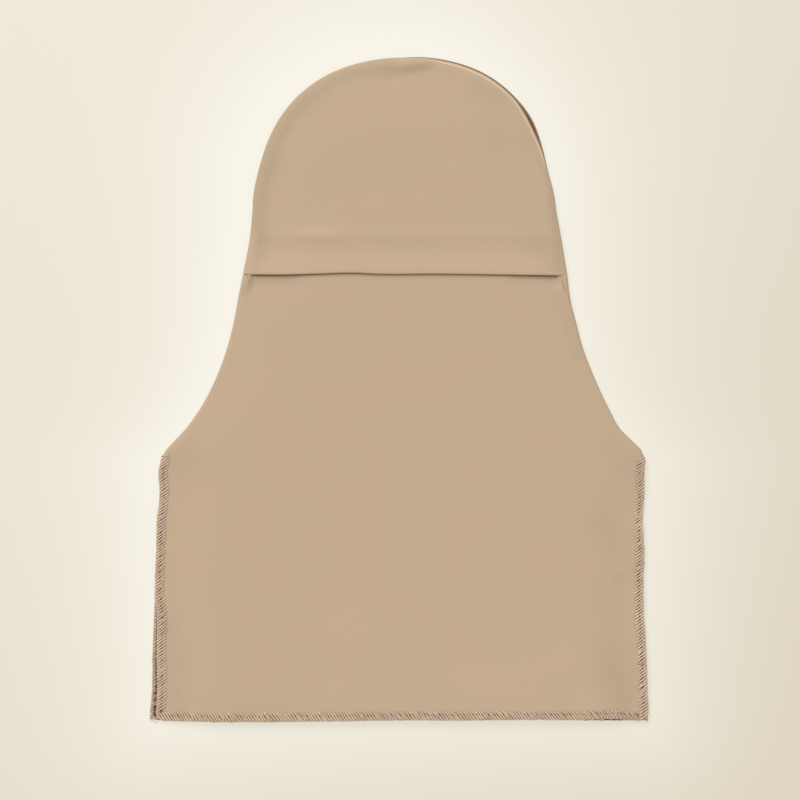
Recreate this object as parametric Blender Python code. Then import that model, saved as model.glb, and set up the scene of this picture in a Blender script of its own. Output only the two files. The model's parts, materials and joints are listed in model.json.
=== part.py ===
"""A full-cover hijab underscarf of thin jersey, laid flat with its face side up.

Metres. X runs across the garment, Y from the hem to the crown, Z up from the surface.
The origin is under the middle of the garment, on the surface that it lies on.

One back panel carries two front panels. The crown front covers the forehead and ends in a
deep turned hem, the bib front covers chin, neck and chest, and its top edge is tucked under
that hem. The slit between them is the face opening. A seam turned to the inside joins front
and back from one shoulder over the crown to the other. Below the shoulders both bibs hang
free, and their edges are overlocked.
"""

import math
from collections import namedtuple

import bmesh
import bpy
import numpy as np

# Widths and heights of the laid outline
CROWN_WIDTH = 0.2265
FACE_SLIT_WIDTH = 0.2430
SHOULDER_WIDTH = 0.3615
HEM_WIDTH = 0.3650
CROWN_RISE = 0.1125
HOOD_DROP = 0.0510
NECK_DROP = 0.1365
BIB_DROP = 0.1965
SHOULDER_ROUND = 0.0060

# Cloth, thread and the air between pieces
CLOTH = 0.0010
THREAD = 0.0005
GAP = 0.0003
LAY_GAP = 0.00035

# How the layers lie
ROLL_RADIUS = 0.0030
HOLLOW = 0.0060
MOUTH = 0.0045
REACH = 0.0380
MOUTH_RUN = 0.0800
CROWN_SETTLE = 0.0007
SETTLE_RUN = 0.0120
UNROLL = 0.0080
EDGE_LIFT_RUN = 0.0085
BACK_SLIP = 0.0045
SEAM_PROUD = 0.0022

# Seams, hems and tuck
SEAM_ALLOWANCE = 0.0050
SEAM_THICKNESS = 0.0014
HEM_TURN = 0.0280
TUCK = 0.0220
DIP_RUN = 0.0160
OVERLOCK_WIDTH = 0.0065

# Shape numbers of the outline curves, without a unit
NECK_LEAN = 0.30
NECK_CURVE = 2.60
HOOD_LEAN = 0.90

# The crown is an ellipse whose radius swells by these shares, by degrees from its top
CrownRow = namedtuple("CrownRow", "degrees share")
CROWN_ARC = (
    CrownRow(0, 1.000),
    CrownRow(15, 1.012),
    CrownRow(30, 1.024),
    CrownRow(45, 1.021),
    CrownRow(60, 1.004),
    CrownRow(75, 0.991),
    CrownRow(90, 1.000),
)

# Over the right of the crown the seam has rolled up onto the face side, by these shares, and
# the back panel's fullness stands proud there
SeamRow = namedtuple("SeamRow", "degrees share")
SEAM_ROLL = (
    SeamRow(-5, 0.0),
    SeamRow(16, 0.6),
    SeamRow(35, 0.9),
    SeamRow(54, 1.0),
    SeamRow(75, 0.0),
)
SEAM_ROLL_UP = math.radians(68)
SQUARE = math.pi / 2

# Numbers of rows and columns in the meshes
CROWN_ROWS = 14
FLARE_ROWS = 9
HOOD_ROWS = 3
SIDE_ROWS = 5
FILLET_ROWS = 4
ROLL_COLUMNS = 5
PLATEAU_COLUMNS = 3
FOLD_ROWS = 4

# Places along Y
LENGTH = CROWN_RISE + HOOD_DROP + NECK_DROP + BIB_DROP
WRAP = GAP + THREAD
Y_HEM = (WRAP - LENGTH) / 2
Y_SHOULDER = Y_HEM + BIB_DROP
Y_SLIT = Y_SHOULDER + NECK_DROP
Y_CENTRE = Y_SLIT + HOOD_DROP
SQUARE_RUN = SHOULDER_ROUND + UNROLL

# Heights of the middle of the cloth
LAYER = CLOTH + LAY_GAP
MID_RADIUS = ROLL_RADIUS - CLOTH / 2
Z_SEAM = ROLL_RADIUS
CASING_HALF = CLOTH / 2 + WRAP
Z_BACK = CLOTH / 2
Z_BACK_EDGE = CASING_HALF
Z_FRONT_EDGE = 3 * CASING_HALF + GAP
Z_BIB = CLOTH + HOLLOW + CLOTH / 2
Z_MOUTH = 3 * CASING_HALF + MOUTH
Z_CROWN_HEM = Z_BIB + 2 * LAYER
Z_CROWN = Z_CROWN_HEM - CROWN_SETTLE

# Half of the seam's gap, as an angle on the roll, and the cloth laid flat beyond the roll's start
SEAM_HALF_GAP = GAP / 2 / MID_RADIUS
EDGE_FLAT = MID_RADIUS * (SQUARE - SEAM_HALF_GAP)
EDGE_SPREAD = EDGE_FLAT - ROLL_RADIUS
CASING_CLEAR = OVERLOCK_WIDTH - EDGE_FLAT + GAP
SEAM_STRIP_START = ROLL_RADIUS - MID_RADIUS + CLOTH / 2 + SEAM_THICKNESS
TUCK_MARGIN = SEAM_STRIP_START + SEAM_ALLOWANCE + CLOTH + WRAP - ROLL_RADIUS
FOLD_RADIUS = LAYER / 2
Y_FOLD = Y_SLIT + FOLD_RADIUS + CLOTH / 2
Y_BIB_END = Y_FOLD - GAP

JERSEY = ("jersey", (0.552, 0.402, 0.279, 1.0), 0.85)
OVERLOCK_THREAD = ("overlock_thread", (0.50, 0.36, 0.25, 1.0), 0.70)

# A row of a panel starts on the spine and runs to the outline, and inward points back into the cloth.
# A course is a row to the left edge, seen in a mirror, and a row to the right edge
Row = namedtuple("Row", "outline inward spine y degrees")
Course = namedtuple("Course", "left right")


def smooth(share):
    """The S-curve that leaves 0 and reaches 1 with no slope."""
    share = min(max(share, 0.0), 1.0)
    return share * share * (3 - 2 * share)


def mix(low, high, share):
    return low + (high - low) * share


def through_table(table, degrees):
    """The share at an angle, on a cubic curve through the table's rows."""
    xs = np.array([row.degrees for row in table], float)
    ys = np.array([row.share for row in table], float)
    if not xs[0] < degrees < xs[-1]:
        return ys[0] if degrees <= xs[0] else ys[-1]
    slopes = np.gradient(ys, xs)
    i = int(np.searchsorted(xs, degrees, side="right")) - 1
    step = xs[i + 1] - xs[i]
    t = (degrees - xs[i]) / step
    start = ys[i] * (1 + 2 * t) * (1 - t) ** 2 + slopes[i] * step * t * (1 - t) ** 2
    end = ys[i + 1] * t * t * (3 - 2 * t) + slopes[i + 1] * step * t * t * (t - 1)
    return start + end


def flare_width(y):
    """Half the width from the face slit down to the shoulder."""
    q = (Y_SLIT - y) / NECK_DROP
    spread = NECK_LEAN * q + (1 - NECK_LEAN) * q**NECK_CURVE
    return mix(FACE_SLIT_WIDTH, SHOULDER_WIDTH, spread) / 2


def hood_width(y):
    """Half the width from the crown's centre down to the face slit."""
    q = (Y_CENTRE - y) / HOOD_DROP
    spread = HOOD_LEAN * q + (1 - HOOD_LEAN) * q * q
    return mix(CROWN_WIDTH, FACE_SLIT_WIDTH, spread) / 2


def side_width(y):
    """Half the width from the shoulder down to the hem."""
    return mix(SHOULDER_WIDTH, HEM_WIDTH, (Y_SHOULDER - y) / BIB_DROP) / 2


def shoulder_fillet():
    """Centre of the shoulder's round corner, and the heights between which it runs."""
    side_lean = math.atan((HEM_WIDTH - SHOULDER_WIDTH) / 2 / BIB_DROP)
    steepness = NECK_LEAN + (1 - NECK_LEAN) * NECK_CURVE
    flare_lean = math.atan(steepness * (SHOULDER_WIDTH - FACE_SLIT_WIDTH) / 2 / NECK_DROP)
    tangent = SHOULDER_ROUND * math.tan((flare_lean - side_lean) / 2)
    low = Y_SHOULDER - tangent * math.cos(side_lean)
    high = Y_SHOULDER + tangent * math.cos(flare_lean)
    centre_x = side_width(low) - SHOULDER_ROUND * math.cos(side_lean)
    centre_y = low - SHOULDER_ROUND * math.sin(side_lean)
    return centre_x, centre_y, low, high


def half_width(y):
    """Half the width of the outline at a height from the hem to the crown's centre."""
    centre_x, centre_y, low, high = shoulder_fillet()
    if y > Y_SLIT:
        return hood_width(y)
    if y >= high:
        return flare_width(y)
    if y > low:
        return centre_x + math.sqrt(SHOULDER_ROUND**2 - (y - centre_y) ** 2)
    return side_width(y)


def level_course(y):
    """A course straight across the garment at a height below the crown's centre."""
    nudge = CLOTH / 10
    lean = math.atan((half_width(y - nudge) - half_width(y + nudge)) / (2 * nudge))
    lean *= smooth(abs(y - Y_SLIT) / SQUARE_RUN) * smooth((y - Y_HEM) / SQUARE_RUN)
    inward = np.array((-math.cos(lean), -math.sin(lean)))
    outline = np.array((half_width(y), y))
    spine = np.array((0.0, y + inward[1] * ROLL_RADIUS))
    row = Row(outline, inward, spine, y, 90.0)
    return Course(row, row)


def crown_point(degrees):
    """A point of the crown's outline, by degrees from its top."""
    angle = math.radians(degrees)
    share = through_table(CROWN_ARC, abs(degrees))
    proud = SEAM_PROUD * through_table(SEAM_ROLL, degrees)
    x = (CROWN_WIDTH / 2 * share + proud) * math.sin(angle)
    return np.array((x, Y_CENTRE + (CROWN_RISE * share + proud) * math.cos(angle)))


def crown_row(degrees, side):
    """A row that fans from the crown's centre to its outline, on the right where side is 1."""
    nudge = 0.5
    low, high = max(degrees - nudge, -90), min(degrees + nudge, 90)
    mirror = np.array((side, 1.0))
    outline = crown_point(side * degrees) * mirror
    along = (crown_point(side * low) - crown_point(side * high)) * mirror
    inward = np.array((-along[1], along[0])) / np.linalg.norm(along)
    return Row(outline, inward, np.array((0.0, Y_CENTRE)), outline[1], float(degrees))


def fan_course(degrees):
    """A course that fans from the crown's centre to both sides of its top."""
    return Course(crown_row(degrees, -1), crown_row(degrees, 1))


def rolled_share(y):
    """1 where the seam rolls the edge, 0 where the edge below the shoulder lies flat."""
    return smooth((y - (Y_SHOULDER - UNROLL)) / UNROLL)


def seam_turn(degrees):
    """Angle of the seam on the roll, from the roll's top. A quarter turn is the garment's edge."""
    return SQUARE - SEAM_ROLL_UP * through_table(SEAM_ROLL, degrees)


def slip(y):
    """How far the back bib has slipped to the left past the front one."""
    q = max(0.0, (Y_SHOULDER - y) / BIB_DROP)
    return np.array((-BACK_SLIP, 0.0)) * q * q


def arch(distance):
    """The convex rise of a front panel from its rolled edge to its level middle."""
    q = min(max(distance / REACH, 0.0), 1.0)
    return 1 - (1 - q) ** 2


class Sheet:
    """A panel's middle surface: how high it lies, and how its edge rolls or lies flat."""

    turn_down = 1

    def no_slip(self, y):
        return np.zeros(2)

    slip = no_slip

    def start_turn(self, row):
        """Slope of the cloth where the roll starts."""
        rise = 2 * (self.middle(row.y) - Z_SEAM - MID_RADIUS) / REACH
        return rolled_share(row.y) * math.atan(rise * -row.inward[0] if row.y < Y_CENTRE else rise)

    def rolled_height(self, distance, y):
        """Height above the surface where the edge is rolled to the seam."""
        slope = math.atan(2 * (self.middle(y) - Z_SEAM - MID_RADIUS) / REACH)
        edge = Z_SEAM + MID_RADIUS * math.cos(slope)
        return mix(edge, self.middle(y), arch(distance))

    def end_turn(self, degrees):
        return seam_turn(degrees) - SEAM_HALF_GAP

    def start(self, row):
        """The point where the roll starts."""
        return row.outline + row.inward * (ROLL_RADIUS - MID_RADIUS * math.sin(self.start_turn(row)))

    def roll(self, row, degrees):
        """Points of the rolled edge, outwards: a bent strip whose bend opens below the shoulder."""
        first = self.start_turn(row)
        length = MID_RADIUS * (self.end_turn(degrees) - first)
        bend = rolled_share(row.y) / MID_RADIUS
        base = self.start(row)
        height = self.height(0.0, row.y)
        points = []
        for along in np.linspace(0, length, ROLL_COLUMNS + 1)[1:]:
            last = first + bend * along
            if bend * length > 1e-6:
                out = (math.sin(last) - math.sin(first)) / bend
                drop = (math.cos(first) - math.cos(last)) / bend
            else:
                out, drop = along, 0.0
            flat = base - row.inward * out
            points.append((*flat, height - self.turn_down * drop))
        return points

    def distances(self, row, widest):
        """Distances of the columns from the roll's start, from the spine outwards."""
        near = [REACH, REACH * 2 / 3, REACH / 3, TUCK_MARGIN, CASING_CLEAR, 0.0]
        plateau = np.linspace(widest, REACH, PLATEAU_COLUMNS + 1)[:-1]
        return [*plateau, *near]

    def half(self, row, side):
        """Points of one half row, from the spine to the cloth's edge."""
        base = self.start(row)
        widest = np.linalg.norm(base - row.spine)
        direction = (row.spine - base) / widest
        points = []
        for distance in self.distances(row, widest):
            flat = base + direction * distance
            points.append((*flat, self.height(distance, row.y)))
        points += self.roll(row, row.degrees * side)
        moved = self.slip(row.y)
        return [(side * x + moved[0], y + moved[1], z) for x, y, z in points]

    def full(self, course):
        """Points of a whole course, from the left edge to the right edge."""
        left, right = self.half(course.left, -1), self.half(course.right, 1)
        return left[::-1] + right[1:]


class BackSheet(Sheet):
    """The back panel lies on the surface, and only its overlocked edges lift off it."""

    turn_down = -1

    def slip(self, y):
        return slip(y)

    def middle(self, y):
        return Z_BACK

    def start_turn(self, row):
        return 0.0

    def end_turn(self, degrees):
        return 2 * SQUARE - seam_turn(degrees) - SEAM_HALF_GAP

    def height(self, distance, y):
        side = (1 - rolled_share(y)) * (1 - smooth((distance - CASING_CLEAR) / EDGE_LIFT_RUN))
        hem = 1 - smooth((y - Y_HEM - OVERLOCK_WIDTH) / EDGE_LIFT_RUN)
        return mix(Z_BACK, Z_BACK_EDGE, 1 - (1 - side) * (1 - hem))


class CrownSheet(Sheet):
    """The crown front arches over the hollow, a little higher above its turned hem."""

    def middle(self, y):
        return mix(Z_CROWN_HEM, Z_CROWN, smooth((y - Y_SLIT - HEM_TURN) / SETTLE_RUN))

    def height(self, distance, y):
        return self.rolled_height(distance, y)


class BibSheet(Sheet):
    """The bib front. At the slit it dips under the crown's hem, and at the hem it arches open."""

    def middle(self, y):
        return mix(Z_MOUTH, Z_BIB, smooth((y - Y_HEM) / MOUTH_RUN))

    def height(self, distance, y):
        middle = self.middle(y)
        flat = mix(Z_FRONT_EDGE, middle, smooth((distance - CASING_CLEAR) / REACH))
        laid = mix(flat, self.rolled_height(distance, y), rolled_share(y))
        tucked = CrownSheet().height(distance, max(y, Y_SLIT)) - 2 * LAYER
        down = smooth((y - (Y_SLIT - DIP_RUN)) / (DIP_RUN - 2 * CLOTH))
        inside = smooth((distance - CASING_CLEAR) / (TUCK_MARGIN - CASING_CLEAR))
        return mix(laid, tucked, down * inside)


def side_courses():
    """Courses from the hem to just under the shoulder, where the edges lie flat."""
    top_of_flat = Y_SHOULDER - UNROLL
    above_hem = Y_HEM + OVERLOCK_WIDTH + GAP
    lift_end = Y_HEM + OVERLOCK_WIDTH + EDGE_LIFT_RUN
    between = np.linspace(lift_end, top_of_flat, SIDE_ROWS + 1)
    return [level_course(y) for y in (Y_HEM, above_hem, *between)]


def shoulder_courses():
    """Courses round the shoulder's corner, where the flat edges roll up into the seam."""
    _, _, low, high = shoulder_fillet()
    opening = np.linspace(Y_SHOULDER - UNROLL, low, FILLET_ROWS)[1:-1]
    return [level_course(y) for y in (*opening, *np.linspace(low, high, FILLET_ROWS))]


def flare_courses(top):
    high = shoulder_fillet()[3]
    return [level_course(y) for y in np.linspace(high, top, FLARE_ROWS)[1:]]


def hood_courses():
    return [level_course(y) for y in np.linspace(Y_SLIT, Y_CENTRE, HOOD_ROWS + 1)[1:-1]]


def crown_courses():
    return [fan_course(degrees) for degrees in np.linspace(90, 0, CROWN_ROWS + 1)]


def seamed_courses():
    """Courses from the shoulder's corner to the crown's top, along which the seam runs."""
    return flare_courses(Y_SLIT) + hood_courses() + crown_courses()


def cloth_from_rows(name, strips):
    """A panel from strips of rows of points: quads between rows, then the cloth's thickness."""
    mesh = bmesh.new()
    for strip in strips:
        grid = [[mesh.verts.new(point) for point in row] for row in strip]
        for low, high in zip(grid, grid[1:]):
            for i in range(len(low) - 1):
                mesh.faces.new((low[i], low[i + 1], high[i + 1], high[i]))
    bmesh.ops.remove_doubles(mesh, verts=mesh.verts, dist=GAP / 100)
    bmesh.ops.recalc_face_normals(mesh, faces=mesh.faces)
    panel = new_object(name, mesh, JERSEY)
    wall = panel.modifiers.new("cloth", "SOLIDIFY")
    wall.thickness = CLOTH
    wall.offset = 0
    wall.use_even_offset = True
    return panel


def swept(name, rings, finish):
    """A closed band through rings of points, with a cap at each end."""
    mesh = bmesh.new()
    grid = [[mesh.verts.new(point) for point in ring] for ring in rings]
    count = len(grid[0])
    for low, high in zip(grid, grid[1:]):
        for i in range(count):
            mesh.faces.new((low[i], low[(i + 1) % count], high[(i + 1) % count], high[i]))
    mesh.faces.new(grid[0][::-1])
    mesh.faces.new(grid[-1])
    bmesh.ops.recalc_face_normals(mesh, faces=mesh.faces)
    return new_object(name, mesh, finish)


def new_object(name, mesh, finish):
    """An object with its own material, smooth on its round faces, carried by the garment's empty."""
    data = bpy.data.meshes.new(name)
    mesh.to_mesh(data)
    mesh.free()
    data.shade_smooth()
    data.set_sharp_from_angle(angle=math.radians(40))
    label, colour, roughness = finish
    material = bpy.data.materials.new(f"{label}_{name}")
    material.use_nodes = True
    shader = material.node_tree.nodes["Principled BSDF"]
    shader.inputs["Base Color"].default_value = colour
    shader.inputs["Roughness"].default_value = roughness
    shader.inputs["Metallic"].default_value = 0.0
    data.materials.append(material)
    made = bpy.data.objects.new(name, data)
    bpy.context.scene.collection.objects.link(made)
    made.parent = bpy.data.objects["underscarf"]
    return made


def back_panel():
    """One piece of cloth from the hem to the crown, and round the seam's roll."""
    sheet = BackSheet()
    courses = side_courses() + shoulder_courses() + seamed_courses()
    return cloth_from_rows("back_panel", [[sheet.full(course) for course in courses]])


def crown_front():
    """The forehead panel. Its hem turns under in a round fold and runs back up inside."""
    sheet = CrownSheet()
    turn_top = Y_SLIT + HEM_TURN
    turned = [level_course(y) for y in (Y_FOLD, (Y_FOLD + turn_top) / 2, turn_top)]
    settling = [level_course(y) for y in (turn_top + SETTLE_RUN / 2, turn_top + SETTLE_RUN)]
    main = [sheet.full(course) for course in turned + settling + crown_courses()]
    outer = ROLL_COLUMNS + 2
    edge = main[0][outer:-outer]
    fold = [edge]
    for angle in np.linspace(0, math.pi, FOLD_ROWS + 1)[1:]:
        forward = FOLD_RADIUS * math.sin(angle)
        drop = FOLD_RADIUS * (1 - math.cos(angle))
        fold.append([(x, y - forward, z - drop) for x, y, z in edge])
    for course in turned[1:]:
        fold.append([(x, y, z - LAYER) for x, y, z in sheet.full(course)[outer:-outer]])
    return cloth_from_rows("crown_front", [main, fold])


def bib_front():
    """The chin and chest panel. Its middle runs on under the crown's hem as a tucked tongue."""
    sheet = BibSheet()
    dip = [level_course(y) for y in np.linspace(Y_SLIT - DIP_RUN, Y_BIB_END, FILLET_ROWS + 1)[1:]]
    courses = side_courses() + shoulder_courses() + flare_courses(Y_SLIT - DIP_RUN) + dip
    body = [sheet.full(course) for course in courses]
    outer = ROLL_COLUMNS + 2
    tongue = [body[-1][outer:-outer]]
    for y in np.linspace(Y_BIB_END, Y_SLIT + TUCK, HOOD_ROWS + 1)[1:]:
        tongue.append(sheet.full(level_course(y))[outer:-outer])
    return cloth_from_rows("bib_front", [body, tongue])


def casing_profile():
    """The thread's section as (distance in from the cloth's edge, height), a U round the edge."""
    nose = [
        (-WRAP * math.cos(angle), CASING_HALF * math.sin(angle))
        for angle in np.linspace(SQUARE, -SQUARE, 5)
    ]
    inner = CLOTH / 2 + GAP
    mouth = [(OVERLOCK_WIDTH, -CASING_HALF), (OVERLOCK_WIDTH, -inner)]
    channel = [(-GAP, -inner), (-GAP, inner)]
    return [(OVERLOCK_WIDTH, CASING_HALF), *nose, *mouth, *channel, (OVERLOCK_WIDTH, inner)]


def side_overlock(name, sheet, side):
    """The thread round a bib's side edge, from above the hem to below the shoulder."""
    rings = []
    for row, _ in side_courses()[1:]:
        edge = row.outline - row.inward * EDGE_SPREAD
        moved = sheet.slip(row.y)
        ring = []
        for distance, height in casing_profile():
            x, y = edge + row.inward * distance
            z = sheet.height(max(distance - EDGE_FLAT, 0.0), row.y) + height
            ring.append((side * x + moved[0], y + moved[1], z))
        rings.append(ring)
    return swept(name, rings, OVERLOCK_THREAD)


def hem_overlock(name, sheet):
    """The thread round a bib's hem, from one side edge to the other."""
    rings = []
    for x, y, z in sheet.full(level_course(Y_HEM)):
        rings.append([(x, y + distance, z + height) for distance, height in casing_profile()])
    return swept(name, rings, OVERLOCK_THREAD)


def side_seam():
    """The joined seam allowances, turned inside, from shoulder to shoulder over the crown."""
    half = SEAM_THICKNESS / 2
    near, far = SEAM_STRIP_START, SEAM_STRIP_START + SEAM_ALLOWANCE
    profile = [(near, -half), (near, half), (far, half), (far, -half)]
    courses = shoulder_courses()[-1:] + seamed_courses()
    up = [(-1, course.left) for course in courses]
    down = [(1, course.right) for course in courses[-2::-1]]
    rings = []
    for side, row in up + down:
        ring = []
        for distance, height in profile:
            x, y = row.outline + row.inward * distance
            ring.append((side * x, y, Z_SEAM + height))
        rings.append(ring)
    return swept("side_seam", rings, JERSEY)


def build():
    """Clears the scene and builds the garment under one empty, centred on its laid outline."""
    for old in list(bpy.data.objects):
        bpy.data.objects.remove(old)
    garment = bpy.data.objects.new("underscarf", None)
    garment.location = (BACK_SLIP / 2, 0.0, 0.0)
    bpy.context.scene.collection.objects.link(garment)
    back_panel()
    crown_front()
    bib_front()
    side_seam()
    for layer, sheet in (("back", BackSheet()), ("front", BibSheet())):
        side_overlock(f"{layer}_overlock_left", sheet, -1)
        side_overlock(f"{layer}_overlock_right", sheet, 1)
        hem_overlock(f"{layer}_overlock_hem", sheet)


build()
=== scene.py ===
"""The looks of a full-cover hijab underscarf of thin jersey, laid flat on a pale floor.

Metres. X runs across the garment, Y from the hem to the crown, Z up from the floor. Every panel is
a grid of rows and columns. A row runs from the spine to the outline, and on round the rolled edge
to the seam or the overlocked edge. The panels and their threads are first laid out square and true,
in the garment's own frame, and then settled together: they stray, sag, ripple and crease as one.
"""

import json
import logging
import math
from collections.abc import Callable, Iterable, Mapping, Sequence
from dataclasses import dataclass, field, replace
from enum import Enum
from functools import partial
from typing import NamedTuple

import bmesh
import bpy
import numpy as np
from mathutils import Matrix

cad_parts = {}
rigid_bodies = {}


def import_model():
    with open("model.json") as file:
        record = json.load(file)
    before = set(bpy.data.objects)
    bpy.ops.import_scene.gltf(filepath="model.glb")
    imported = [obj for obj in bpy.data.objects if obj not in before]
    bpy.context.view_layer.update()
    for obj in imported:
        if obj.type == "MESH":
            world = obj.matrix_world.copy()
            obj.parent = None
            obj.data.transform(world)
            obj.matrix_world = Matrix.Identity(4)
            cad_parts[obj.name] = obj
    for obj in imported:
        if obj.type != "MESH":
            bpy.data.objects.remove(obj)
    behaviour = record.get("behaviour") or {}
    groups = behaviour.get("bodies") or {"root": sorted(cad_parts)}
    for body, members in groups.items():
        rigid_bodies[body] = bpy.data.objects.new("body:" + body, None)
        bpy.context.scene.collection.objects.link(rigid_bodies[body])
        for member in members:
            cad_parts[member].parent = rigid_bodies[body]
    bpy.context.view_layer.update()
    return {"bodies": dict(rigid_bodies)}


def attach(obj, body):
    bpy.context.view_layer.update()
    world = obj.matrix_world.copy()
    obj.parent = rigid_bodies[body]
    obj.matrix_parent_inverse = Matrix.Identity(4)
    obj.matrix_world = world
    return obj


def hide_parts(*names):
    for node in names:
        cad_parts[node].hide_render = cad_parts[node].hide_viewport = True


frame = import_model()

BODY = next(iter(frame["bodies"]))
SQUARE = math.pi / 2
TURN = 2 * math.pi
END_SIDES = 24
LOG = logging.getLogger("underscarf")

Array = np.ndarray
Number = float | Array
Colour = tuple[float, float, float]


def smooth(share: Number) -> Array:
    """The S-curve 3t^2 - 2t^3, level at both ends, of a share cut to 0 to 1."""
    share = np.clip(share, 0.0, 1.0)
    return share * share * (3 - 2 * share)


def mix(low: Number, high: Number, share: Number) -> Array:
    """The value that share of the way from low to high."""
    return low + (high - low) * share


def bump(offset: Number) -> Array:
    """The bell curve exp(-t^2)."""
    return np.exp(-np.square(offset))


def unit(vectors: Array) -> Array:
    """Vectors scaled to a length of 1."""
    return vectors / np.linalg.norm(vectors, axis=-1, keepdims=True)


def through(rows: Sequence[NamedTuple], place: Array, column: str) -> Array:
    """A smooth curve through one column of a table, read at places along its first column.

    Each span is a cubic that meets its neighbours with the same slope, which is the mean slope of
    the spans on both sides. Past the ends the curve keeps its end values.

    Args:
        rows: The table, in rising order of its first column.
        place: Where the curve is read.
        column: The name of the column.

    Returns:
        The values, in the shape of place.
    """
    xs = np.array([row[0] for row in rows], float)
    ys = np.array([getattr(row, column) for row in rows], float)
    slopes = np.gradient(ys, xs)
    place = np.clip(place, xs[0], xs[-1])
    i = np.clip(np.searchsorted(xs, place, side="right") - 1, 0, len(xs) - 2)
    step = xs[i + 1] - xs[i]
    t = (place - xs[i]) / step
    start = ys[i] * (1 + 2 * t) * (1 - t) ** 2 + slopes[i] * step * t * (1 - t) ** 2
    end = ys[i + 1] * t * t * (3 - 2 * t) + slopes[i + 1] * step * t * t * (t - 1)
    return start + end


def arc_step(first: Number, bend: Number, length: Number) -> tuple[Array, Array]:
    """How far a strip of a given length goes along and aside when it bends evenly.

    The chord of the arc is length * sin(h) / h, where h is half of the angle bend * length, and it
    leans by first + h. A strip without a bend goes straight.

    Args:
        first: The lean at the start of the strip.
        bend: The angle turned for each metre.
        length: The strip's length.

    Returns:
        The distances along the direction of no lean, and square to it.
    """
    half = bend * length / 2
    chord = length * np.sinc(half / math.pi)
    return chord * np.cos(first + half), chord * np.sin(first + half)


class Side(Enum):
    """The sides of the garment as they are seen, with the sign of X there."""

    LEFT = -1
    RIGHT = 1


class Layer(Enum):
    """The panels that lie on each other, from the floor up."""

    BACK = "back"
    BIB = "bib"
    CROWN = "crown"

    @property
    def face(self) -> str:
        """The face of the garment that the panel belongs to."""
        return "back" if self is Layer.BACK else "front"


class ArcRow(NamedTuple):
    """A share of the crown's radius, by degrees from its top."""

    degrees: float
    share: float


class RollRow(NamedTuple):
    """How far up the rolled edge the seam lies, and the stretch of cloth that stands proud there."""

    degrees: float
    seam: float
    proud: float


class PressRow(NamedTuple):
    """How strongly the seam allowance shows through the cloth, by degrees from the crown's top."""

    degrees: float
    share: float


class ProfileRow(NamedTuple):
    """How far the pressed front has risen, by distance from the start of its roll."""

    distance: float
    share: float


@dataclass(frozen=True)
class Rows:
    """Half rows of a panel, each from a point on the spine to a point on the outline.

    All are given as on the right. A row of the left side is this in a mirror.
    """

    side: Side
    outline: Array
    inward: Array
    spine: Array
    y: Array
    degrees: Array

    def join(self, other: "Rows") -> "Rows":
        """These rows and then the other ones."""
        parts = ("outline", "inward", "spine", "y", "degrees")
        both = (np.concatenate((getattr(self, part), getattr(other, part))) for part in parts)
        return Rows(self.side, *both)


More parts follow.
